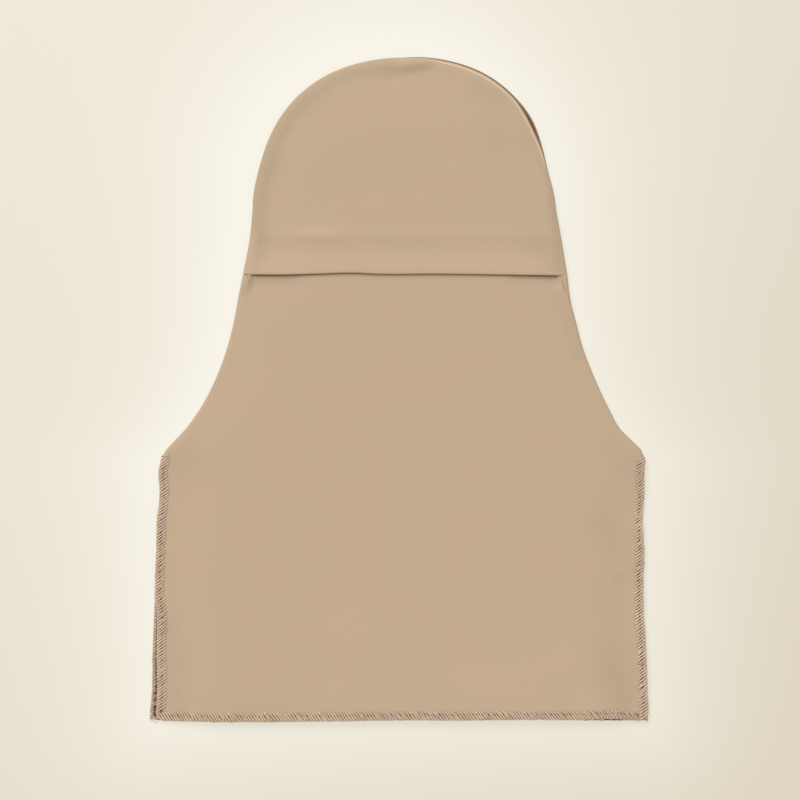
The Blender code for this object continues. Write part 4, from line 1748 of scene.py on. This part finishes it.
@dataclass
class Panels:
    """The three panels of jersey."""

    garment: Garment = field(default_factory=Garment)
    finish: Jersey = field(default_factory=Jersey)
    near: int = 32
    crown_far: int = 20
    bib_far: int = 36
    back_far: int = 20
    fold_steps: int = 7
    hidden_from: float = 1.2
    hidden_run: float = 1.6

    def cloth(self, name: str, grids: Sequence[Grid], layer: Layer) -> tuple[bpy.types.Object, float]:
        """A panel from grids in the garment's own frame: settled, joined and given a thickness.

        Args:
            name: The piece's name.
            grids: Its grids.
            layer: The layer that it lies in.

        Returns:
            The piece, and the area of its cloth.
        """
        lay, ply = self.garment.lay, self.garment.plies
        settled = [grid._replace(points=lay.settle(grid.points, layer)) for grid in grids]
        made = mesh_object(name, settled, "cloth", self.garment.merge)
        wall = made.modifiers.new("cloth", "SOLIDIFY")
        wall.thickness = ply.cloth
        wall.offset = 0
        points = np.empty(3 * len(made.data.vertices), np.float32)
        made.data.vertices.foreach_get("co", points)
        # The painted shading at the settled points: greenish painted shade, paler painted light where
        # negative.
        cast = lay.cast(points.reshape(-1, 3), layer)
        values = made.data.attributes.new("cast", "FLOAT", "POINT").data
        values.foreach_set("value", cast.astype(np.float32))
        made.data.materials.append(self.finish.material(name))
        return made, sum(surface_area(grid.points) for grid in settled)

    def back(self) -> tuple[bpy.types.Object, float]:
        """One piece of cloth from the hem to the crown, and up round the seam's roll.

        Returns:
            The piece, and the area of its cloth.
        """
        g, outline = self.garment, self.garment.outline
        low = g.heights(*g.bib_stops, g.fold_y - g.plies.gap)
        heights = np.concatenate((low, g.heights(g.fold_y, outline.centre_y)[:-1]))
        sheet = BackSheet(outline, g.plies)
        points, flat, distance = g.full(sheet, g.over(heights), self.near, self.back_far)
        # Painted shade between the stitches, in the seam's groove and on the rolled rim.
        dark = np.maximum(g.painted_shade(flat, distance), g.groove(points))
        dark = np.maximum(dark, g.rim(points, distance))
        return self.cloth("back_jersey", [Grid(points, flat, dark)], Layer.BACK)

    def crown(self) -> tuple[bpy.types.Object, float]:
        """The forehead panel. Its hem turns under in a round fold and runs back up inside.

        Returns:
            The piece, and the area of its cloth.
        """
        g, outline, ply = self.garment, self.garment.outline, self.garment.plies
        turn_top = outline.slit_y + ply.hem_turn
        turned = g.heights(g.fold_y, turn_top)
        heights = np.concatenate((turned, g.heights(turn_top, outline.centre_y)[1:-1]))
        sheet = CrownSheet(outline, ply)
        points, flat, distance = g.full(sheet, g.over(heights), self.near, self.crown_far)
        inner = np.flatnonzero(distance[0] > ply.fold_inset)
        inner = slice(inner[0], inner[-1] + 1)
        radius = ply.layer / 2
        angle = np.linspace(0, math.pi, self.fold_steps + 1)[:, None]
        fold = points[0, inner]
        x = np.broadcast_to(fold[:, 0], (len(angle), len(fold)))
        y = fold[:, 1] - radius * np.sin(angle)
        z = fold[:, 2] - radius * (1 - np.cos(angle))
        inside = points[1 : len(turned), inner] - np.array((0.0, 0.0, ply.layer))
        under = np.concatenate((np.stack((x, y, z), axis=-1), inside))
        run = np.concatenate((radius * angle[:, 0], radius * math.pi + turned[1:] - g.fold_y))
        along = np.broadcast_to((g.fold_y - run)[:, None], under.shape[:2])
        under_flat = np.stack((under[..., 0], along), axis=-1)
        # The inside of the turned hem is painted in shade, more as it runs under.
        hidden = smooth((run[:, None] / radius - self.hidden_from) / self.hidden_run) + 0 * along
        # Painted shade in the seam's groove, less the painted highlight beside it.
        edge = g.groove(points) - g.gleam(points, distance)
        grids = [Grid(points, flat, edge), Grid(under, under_flat, hidden)]
        return self.cloth("crown_jersey", grids, Layer.CROWN)

    def bib(self) -> tuple[bpy.types.Object, float]:
        """The chin and chest panel. Its middle runs on under the crown's hem as a tucked tongue.

        Returns:
            The piece, and the area of its cloth.
        """
        g, outline, ply = self.garment, self.garment.outline, self.garment.plies
        sheet, top = BibSheet(outline, ply), g.fold_y - ply.gap
        line = top - ply.fold_dark
        dip = outline.slit_y - ply.dip_run
        body = partial(outline.level, g.heights(*g.bib_stops, dip, line - ply.fold_fade, line, top))
        tongue = partial(outline.level, g.heights(top, outline.slit_y + ply.tuck))
        points, flat, distance = g.full(sheet, body, self.near, self.bib_far)
        # Painted shade in the crevice under the crown's fold.
        shade = through(g.lay.fold_shade, points[..., 0], "share")
        shade = shade * (1 - smooth((line - points[..., 1]) / ply.fold_fade))
        dark = np.maximum(g.painted_shade(flat, distance), g.groove(points))
        grids = [Grid(points, flat, np.maximum(dark, shade))]
        inner = np.flatnonzero(distance[-1] > ply.tuck_inset)
        inner = slice(inner[0], inner[-1] + 1)
        tuck = g.full(sheet, tongue, self.near, self.bib_far)
        points, flat, distance = (grid[:, inner] for grid in tuck)
        # The tongue under the crown's hem is painted fully in shade.
        grids.append(Grid(points, flat, np.ones_like(distance)))
        return self.cloth("bib_jersey", grids, Layer.BIB)


@dataclass
class SeamAllowance:
    """The two plies of the side seam, turned inside, from shoulder to shoulder over the crown."""

    garment: Garment = field(default_factory=Garment)
    finish: Jersey = field(default_factory=Jersey)
    start: float = 0.0024
    width: float = 0.0050
    ply: float = 0.00070
    parting: float = 0.00018
    above_shoulder: float = 0.0040
    round_points: int = 4
    flutter: Waves = Waves(41, 6, 0.012, 0.040, 0.00012)

    def profile(self) -> Array:
        """The section: two rounded plies that part in a groove along their outer and inner sides.

        Returns:
            Points right round it: how far in from the outline, and how high.
        """
        angle = np.linspace(-SQUARE, SQUARE, self.round_points)
        top = self.ply / 2
        round_x, round_z = top * np.cos(angle), top * np.sin(angle)
        near, far = self.start + top, self.start + self.width - top
        right = np.stack((far + round_x, round_z), -1)
        left = np.stack((near - round_x[::-1], round_z[::-1]), -1)
        up = np.array((0.0, top))
        notch_right = np.array(((far - self.parting, 0.0),))
        notch_left = np.array(((near + self.parting, 0.0),))
        return np.concatenate((right - up, notch_right, right + up, left + up, notch_left, left - up))

    def build(self) -> bpy.types.Object:
        """The strip: its section carried along the seam, a little wavy.

        Returns:
            The piece.
        """
        g, outline = self.garment, self.garment.outline
        heights = g.heights(outline.shoulder_y + self.above_shoulder, outline.centre_y)[:-1]
        profile = self.profile()
        halves = []
        for side in (Side.LEFT, Side.RIGHT):
            rows = g.over(heights)(side)
            place = rows.outline[:, None] + rows.inward[:, None] * profile[None, :, :1]
            z = np.broadcast_to(g.plies.seam_z + profile[:, 1], place.shape[:2])
            points = np.concatenate((place, z[..., None]), axis=-1)
            halves.append(points * np.array((side.value, 1.0, 1.0)))
        points = np.concatenate((halves[0], halves[1][-2::-1]))
        points[..., 2] += self.flutter.at(points[..., 0], points[..., 1])
        step = np.linalg.norm(np.diff(points[:, 0], axis=0), axis=1)
        along = np.concatenate(((0.0,), np.cumsum(step)))
        around = np.linspace(0, 2 * self.width, len(profile), endpoint=False)
        flat = np.stack(np.meshgrid(along, around, indexing="ij"), axis=-1)
        settled = g.lay.settle(points, Layer.CROWN)
        grid = Grid(settled, flat, 0 * flat[..., 0], ring=True)
        made = mesh_object("seam_allowance", [grid], "cloth", 0.0)
        made.data.materials.append(self.finish.material("seam_allowance"))
        return g.seat(made, "jersey", "side_seam")


class Edge(Enum):
    """The overlocked edges of a bib, as they are seen."""

    LEFT = "left"
    RIGHT = "right"
    HEM = "hem"


class StrandRow(NamedTuple):
    """A place on a strand's way through one stitch.

    Along is in stitches, depth in shares of the needle's depth from the cloth's edge, and height in
    shares of the height at which a strand lies on the cloth.
    """

    along: float
    depth: float
    height: float


UPPER_LOOPER = (
    StrandRow(0.00, -0.070, 0.15),
    StrandRow(0.00, 0.060, 1.00),
    StrandRow(0.00, 0.350, 1.10),
    StrandRow(0.00, 0.700, 1.10),
    StrandRow(0.01, 0.930, 1.00),
    StrandRow(0.13, 1.030, 0.98),
    StrandRow(0.25, 0.930, 1.00),
    StrandRow(0.26, 0.700, 1.10),
    StrandRow(0.26, 0.350, 1.10),
    StrandRow(0.26, 0.060, 1.00),
    StrandRow(0.46, -0.070, 0.40),
    StrandRow(0.74, -0.105, -0.10),
)
LOWER_LOOPER = (
    StrandRow(0.50, -0.075, -0.20),
    StrandRow(0.50, 0.060, -1.00),
    StrandRow(0.50, 0.500, -1.08),
    StrandRow(0.51, 0.930, -1.00),
    StrandRow(0.65, 1.030, -0.98),
    StrandRow(0.79, 0.930, -1.00),
    StrandRow(0.80, 0.500, -1.08),
    StrandRow(0.80, 0.060, -1.00),
    StrandRow(0.98, -0.075, -0.35),
    StrandRow(1.25, -0.110, 0.30),
)
NEEDLE_THREAD = (
    StrandRow(0.05, 0.960, 1.75),
    StrandRow(0.30, 0.960, 1.75),
    StrandRow(0.52, 0.960, 1.00),
    StrandRow(0.62, 0.960, -0.80),
    StrandRow(0.80, 0.960, -0.90),
    StrandRow(0.90, 0.960, 0.90),
)


def flowing(control: Array, steps: int) -> Array:
    """A smooth path through control points.

    Each span is a cubic whose slope at a point is half of the way from the one before to the next.

    Args:
        control: The points.
        steps: The number of points for each span.

    Returns:
        The path's points.
    """
    slopes = np.gradient(control, axis=0)
    t = (np.arange(steps) / steps)[None, :, None]
    p0, p1, m0, m1 = control[:-1, None], control[1:, None], slopes[:-1, None], slopes[1:, None]
    start = p0 * (1 + 2 * t) * (1 - t) ** 2 + m0 * t * (1 - t) ** 2
    end = p1 * t * t * (3 - 2 * t) + m1 * t * t * (t - 1)
    return (start + end).reshape(-1, 3)


def tube(path: Array, out: Array, radius: float, sides: int) -> tuple[Array, Array]:
    """Rings round a path: path + r (cos(v) o + sin(v) t x o), with o square to the tangent t.

    Args:
        path: The points of the strand's middle.
        out: Where the first point of each ring looks.
        radius: The strand's radius.
        sides: The number of points in a ring.

    Returns:
        The rings, and the coordinates along and round the strand.
    """
    along = np.gradient(path, axis=0)
    step = np.linalg.norm(along, axis=1)
    along = along / step[:, None]
    out = unit(out - along * np.sum(along * out, axis=1, keepdims=True))
    aside = np.cross(along, out)
    angle = np.linspace(0, TURN, sides, endpoint=False)[None, :, None]
    rings = path[:, None] + radius * (np.cos(angle) * out[:, None] + np.sin(angle) * aside[:, None])
    run, around = np.cumsum(step), np.linspace(0, 1, sides, endpoint=False)
    return rings, np.stack(np.meshgrid(run, around, indexing="ij"), axis=-1)


@dataclass(frozen=True)
class Strand:
    """One thread of the overlock: its way through a stitch, its size, and its sides."""

    way: tuple[StrandRow, ...]
    radius: float
    sides: int
    steps: int
    sews: bool = False


@dataclass
class Overlock:
    """The overlocked edges of the bibs: three threads looped round the cloth's edge.

    The upper looper lies on the cloth in pairs of slanting legs, the lower one under it, and both
    meet in a twisted cord outside the edge. The needle's thread holds their inner turns down. Cut
    ends of thread stick out as short tails at the front hem's corners.
    """

    garment: Garment = field(default_factory=Garment)
    finish: OverlockThread = field(default_factory=OverlockThread)
    side_pitch: float = 0.00230
    hem_pitch: float = 0.00225
    needle_depth: float = 0.0056
    slant: float = 1.85
    core: float = 0.0006
    wobble: float = 0.075
    wobble_shares: tuple[float, float, float] = (0.80, 0.35, 0.70)
    first_room: float = 0.1
    last_room: float = 0.7
    side_points: int = 400
    top_start: float = 0.0044
    left_end: float = 0.0010
    hem_start: float = 0.0008
    hem_short: float = 0.0022
    tail_radius: float = 0.00022
    tail_sides: int = 6
    tail_steps: int = 6
    tails: tuple[tuple[tuple[float, float, float], ...], ...] = (
        ((0.1800, -0.2465, 0.0046), (0.1822, -0.2478, 0.0040), (0.1842, -0.2472, 0.0026),
         (0.1856, -0.2486, 0.0012), (0.1852, -0.2502, 0.0005)),
        ((-0.1850, -0.2470, 0.0040), (-0.1858, -0.2484, 0.0026), (-0.1850, -0.2498, 0.0012),
         (-0.1835, -0.2506, 0.0005), (-0.1822, -0.2501, 0.0004)),
        ((-0.1868, -0.2462, 0.0022), (-0.1878, -0.2474, 0.0014), (-0.1876, -0.2490, 0.0006),
         (-0.1866, -0.2498, 0.0004)),
    )
    strands: tuple[Strand, ...] = (
        Strand(UPPER_LOOPER, 0.00031, 6, 2),
        Strand(LOWER_LOOPER, 0.00028, 6, 2),
        Strand(NEEDLE_THREAD, 0.00022, 5, 2, sews=True),
    )

    def pitch(self, edge: Edge) -> float:
        """The length of a stitch, a little less along the hem."""
        return self.hem_pitch if edge is Edge.HEM else self.side_pitch

    def path(self, strand: Strand, length: float, pitch: float, seed: int) -> Array:
        """The middle of a strand, along the edge, in from the edge and up.

        The rows of one stitch repeat for each stitch, wobble a little, and are joined by cubic
        spans whose slope at a row is that from the row before to the row after.

        Args:
            strand: The strand.
            length: The length of the edge.
            pitch: The length of a stitch.
            seed: The seed of the wobble.

        Returns:
            The points in the edge's own frame.
        """
        stitches = int(length / pitch - self.slant - self.last_room)
        rows = np.array(strand.way)
        dice = np.random.default_rng(seed)
        control = np.tile(rows, (stitches, 1)).reshape(stitches, len(rows), 3)
        control[..., 0] += np.arange(stitches)[:, None] - self.slant * np.clip(rows[:, 1], 0, 1)
        control = control + dice.normal(0, self.wobble, control.shape) * self.wobble_shares
        drift = dice.normal(0, self.wobble, (stitches, 1))
        control[..., 1] += drift * np.clip(rows[:, 1], 0, 1)
        over = self.garment.plies.cloth / 2 + strand.radius
        scale = np.array((pitch, self.needle_depth, over))
        first = np.array(((self.slant + self.first_room) * pitch, 0.0, 0.0))
        return flowing(control.reshape(-1, 3) * scale + first, strand.steps)

    def ring_side(self, strand: Strand, path: Array) -> Array:
        """Where a ring's first point looks.

        It looks away from the cloth's edge, which a looper winds round, or across the row of
        stitches, along which a needle's thread runs.

        Args:
            strand: The strand.
            path: The points of its middle.

        Returns:
            A direction for each point.
        """
        out = np.zeros_like(path)
        if strand.sews:
            out[:, 1] = 1.0
        else:
            out[:, 1] = np.minimum(path[:, 1] - self.core, 0)
            out[:, 2] = path[:, 2]
        return out

    def side_run(self, edge: Edge) -> tuple[Array, Array]:
        """The run of a side's stitches, down the left and up the right.

        Args:
            edge: The side.

        Returns:
            The heights, and how far along the edge from its start they lie.
        """
        outline = self.garment.outline
        low = outline.hem_y + self.left_end if edge is Edge.LEFT else outline.hem_y
        y = np.linspace(low, outline.shoulder_y + self.top_start, self.side_points)
        y = y[::-1] if edge is Edge.LEFT else y
        step = np.hypot(np.diff(y), np.diff(outline.half_width(y)))
        return y, np.concatenate(((0.0,), np.cumsum(step)))

    def place(self, sheet: Panel, edge: Edge, points: Array) -> Array:
        """Carries points from the edge's own frame onto the cloth, in the garment's own frame.

        Args:
            sheet: The panel whose edge it is.
            edge: Which edge.
            points: The points: along, in from the cloth's edge, and up.

        Returns:
            The points, in the same order.
        """
        g, outline = self.garment, self.garment.outline
        along, depth, up = np.moveaxis(points.reshape(-1, 3), -1, 0)
        if edge is Edge.HEM:
            past_roll = g.plies.edge_flat - outline.roll_radius
            x = along - outline.hem_width / 2 - past_roll - self.hem_start
            rows = outline.level(outline.hem_y + np.maximum(depth, 0), Side.RIGHT)
            widest = outline.half_width(rows.y) - outline.roll_radius
            distance = np.maximum(widest - np.abs(x), 0)
            z = sheet.height(rows, distance[:, None])[:, 0] + up
            placed = np.stack((x, outline.hem_y + depth, z), axis=-1)
        else:
            side = Side.LEFT if edge is Edge.LEFT else Side.RIGHT
            y, run = self.side_run(edge)
            rows = outline.level(np.interp(along, run, y), side)
            section = sheet.across(rows, (depth - g.plies.edge_flat)[:, None])
            placed = section.place[:, 0] + section.normal[:, 0] * up[:, None]
            placed = placed * np.array((side.value, 1.0, 1.0))
        return placed.reshape(points.shape)

    def length(self, edge: Edge) -> float:
        """The length of an edge's row of stitches.

        Args:
            edge: The edge.

        Returns:
            The length.
        """
        outline, ply = self.garment.outline, self.garment.plies
        if edge is Edge.HEM:
            return outline.hem_width + 2 * (ply.edge_flat - outline.roll_radius) - self.hem_short
        return float(self.side_run(edge)[1][-1])

    def build(self, sheet: Panel, edge: Edge, seed: int) -> bpy.types.Object:
        """The three threads of one edge as one piece.

        Args:
            sheet: The panel whose edge it is.
            edge: Which edge.
            seed: The seed of the stitches' wobble.

        Returns:
            The piece.
        """
        g, face, grids = self.garment, sheet.layer.face, []
        for number, strand in enumerate(self.strands):
            path = self.path(strand, self.length(edge), self.pitch(edge), seed * 10 + number)
            rings, flat = tube(path, self.ring_side(strand, path), strand.radius, strand.sides)
            points = g.lay.settle(self.place(sheet, edge, rings), sheet.layer)
            grids.append(Grid(points, flat, g.lay.gloom(points, sheet.layer), ring=True))
        tails = self.tails if (sheet.layer, edge) == (Layer.BIB, Edge.HEM) else ()
        for tail in tails:
            path = flowing(np.array(tail), self.tail_steps)
            out = np.broadcast_to((0.0, 0.0, 1.0), path.shape)
            rings, flat = tube(path, out, self.tail_radius, self.tail_sides)
            grids.append(Grid(rings, flat, 0 * flat[..., 0], ring=True))
        name = f"{face}_stitches_{edge.value}"
        made = mesh_object(name, grids, "strand", 0.0)
        made.data.materials.append(self.finish.material(name))
        return g.seat(made, "overlock_thread", f"{face}_overlock_{edge.value}")


@dataclass(frozen=True)
class Studio:
    """The pale floor, the soft light and the camera straight above."""

    garment: Garment = field(default_factory=Garment)
    floor: PaleFloor = field(default_factory=PaleFloor)
    field_width: float = 0.600
    lens: float = 100.0
    sensor: float = 36.0
    clip: float = 100.0
    centre: tuple[float, float, float] = (0.0, -0.0080, 0.0050)
    floor_reach: float = 5.0
    floor_points: int = 161
    floor_growth: float = 5.0
    # How far the painted light round the garment reaches.
    halo: float = 0.072
    key_turn: tuple[float, float, float] = (-0.60, -0.46, 0.0)
    key_strength: float = 1.62
    key_softness: float = 34.0
    key_tint: Colour = (1.0, 0.995, 0.98)
    sky_tint: Colour = (1.0, 0.99, 0.97)
    sky_strength: float = 0.62

    def camera(self) -> None:
        """Hangs the camera over the garment, at the distance at which it sees the field's width."""
        data = bpy.data.cameras.new("camera")
        data.lens = self.lens
        data.sensor_width = self.sensor
        data.clip_end = self.clip
        made = bpy.data.objects.new("camera", data)
        x, y, z = self.centre
        made.location = (x, y, z + self.field_width * self.lens / self.sensor)
        bpy.context.scene.collection.objects.link(made)
        bpy.context.scene.camera = made

    def light(self) -> None:
        """A broad soft key from the upper left, and an even pale sky that fills the shadows."""
        data = bpy.data.lights.new("key", "SUN")
        data.energy = self.key_strength
        data.angle = math.radians(self.key_softness)
        data.color = self.key_tint
        key = bpy.data.objects.new("key", data)
        key.rotation_euler = self.key_turn
        bpy.context.scene.collection.objects.link(key)
        world = bpy.data.worlds.new("sky")
        world.use_nodes = True
        background = world.node_tree.nodes["Background"]
        background.inputs["Color"].default_value = (*self.sky_tint, 1.0)
        background.inputs["Strength"].default_value = self.sky_strength
        bpy.context.scene.world = world
        bpy.context.scene.view_settings.view_transform = "Standard"

    def lay_floor(self) -> None:
        """The floor: a grid that is fine round the garment, marked by how near that lies for the
        painted light there.
        """
        shares = np.linspace(-1, 1, self.floor_points)
        growth = self.floor_growth
        line = self.floor_reach * np.sinh(growth * shares) / math.sinh(growth)
        y, x = np.meshgrid(line, line, indexing="ij")
        outline = self.garment.outline
        beside = np.abs(x) - outline.half_width(np.clip(y, outline.hem_y, outline.centre_y))
        top = np.hypot(x, np.maximum(y - outline.centre_y, 0)) - outline.crown_rise
        beside = np.where(y > outline.centre_y, top, beside)
        below = np.maximum(outline.hem_y - y, 0)
        gap = np.hypot(np.maximum(beside, 0), below)
        near = np.exp(-gap / self.halo)
        points = np.stack((x, y, 0 * x), axis=-1)
        made = mesh_object("floor", [Grid(points, points[..., :2], near)], "floor", 0.0)
        made.data.attributes["painted_shade"].name = "near"
        made.data.materials.append(self.floor.material("floor"))


def main() -> None:
    """Builds the garment and the studio, and reports each piece."""
    logging.basicConfig(level=logging.INFO, format="%(name)s %(message)s")
    garment = Garment()
    studio = Studio(garment)
    studio.camera()
    studio.light()
    studio.lay_floor()
    overlock = Overlock(garment)
    stitches: dict[str, list[bpy.types.Object]] = {"back": [], "front": []}
    sheets = (BackSheet(garment.outline, garment.plies), BibSheet(garment.outline, garment.plies))
    for number, (name, sheet) in enumerate(zip(stitches, sheets)):
        for count, edge in enumerate(Edge):
            stitches[name].append(overlock.build(sheet, edge, 10 * number + count))
    SeamAllowance(garment).build()
    panels = Panels(garment)
    back, back_area = panels.back()
    bib, bib_area = panels.bib()
    crown, crown_area = panels.crown()
    for made, node in ((back, "back_panel"), (bib, "bib_front"), (crown, "crown_front")):
        garment.seat(made, "jersey", node)
    LOG.info("areas: back %.4f, bib %.4f, crown %.4f", back_area, bib_area, crown_area)


if __name__ == "__main__":
    main()
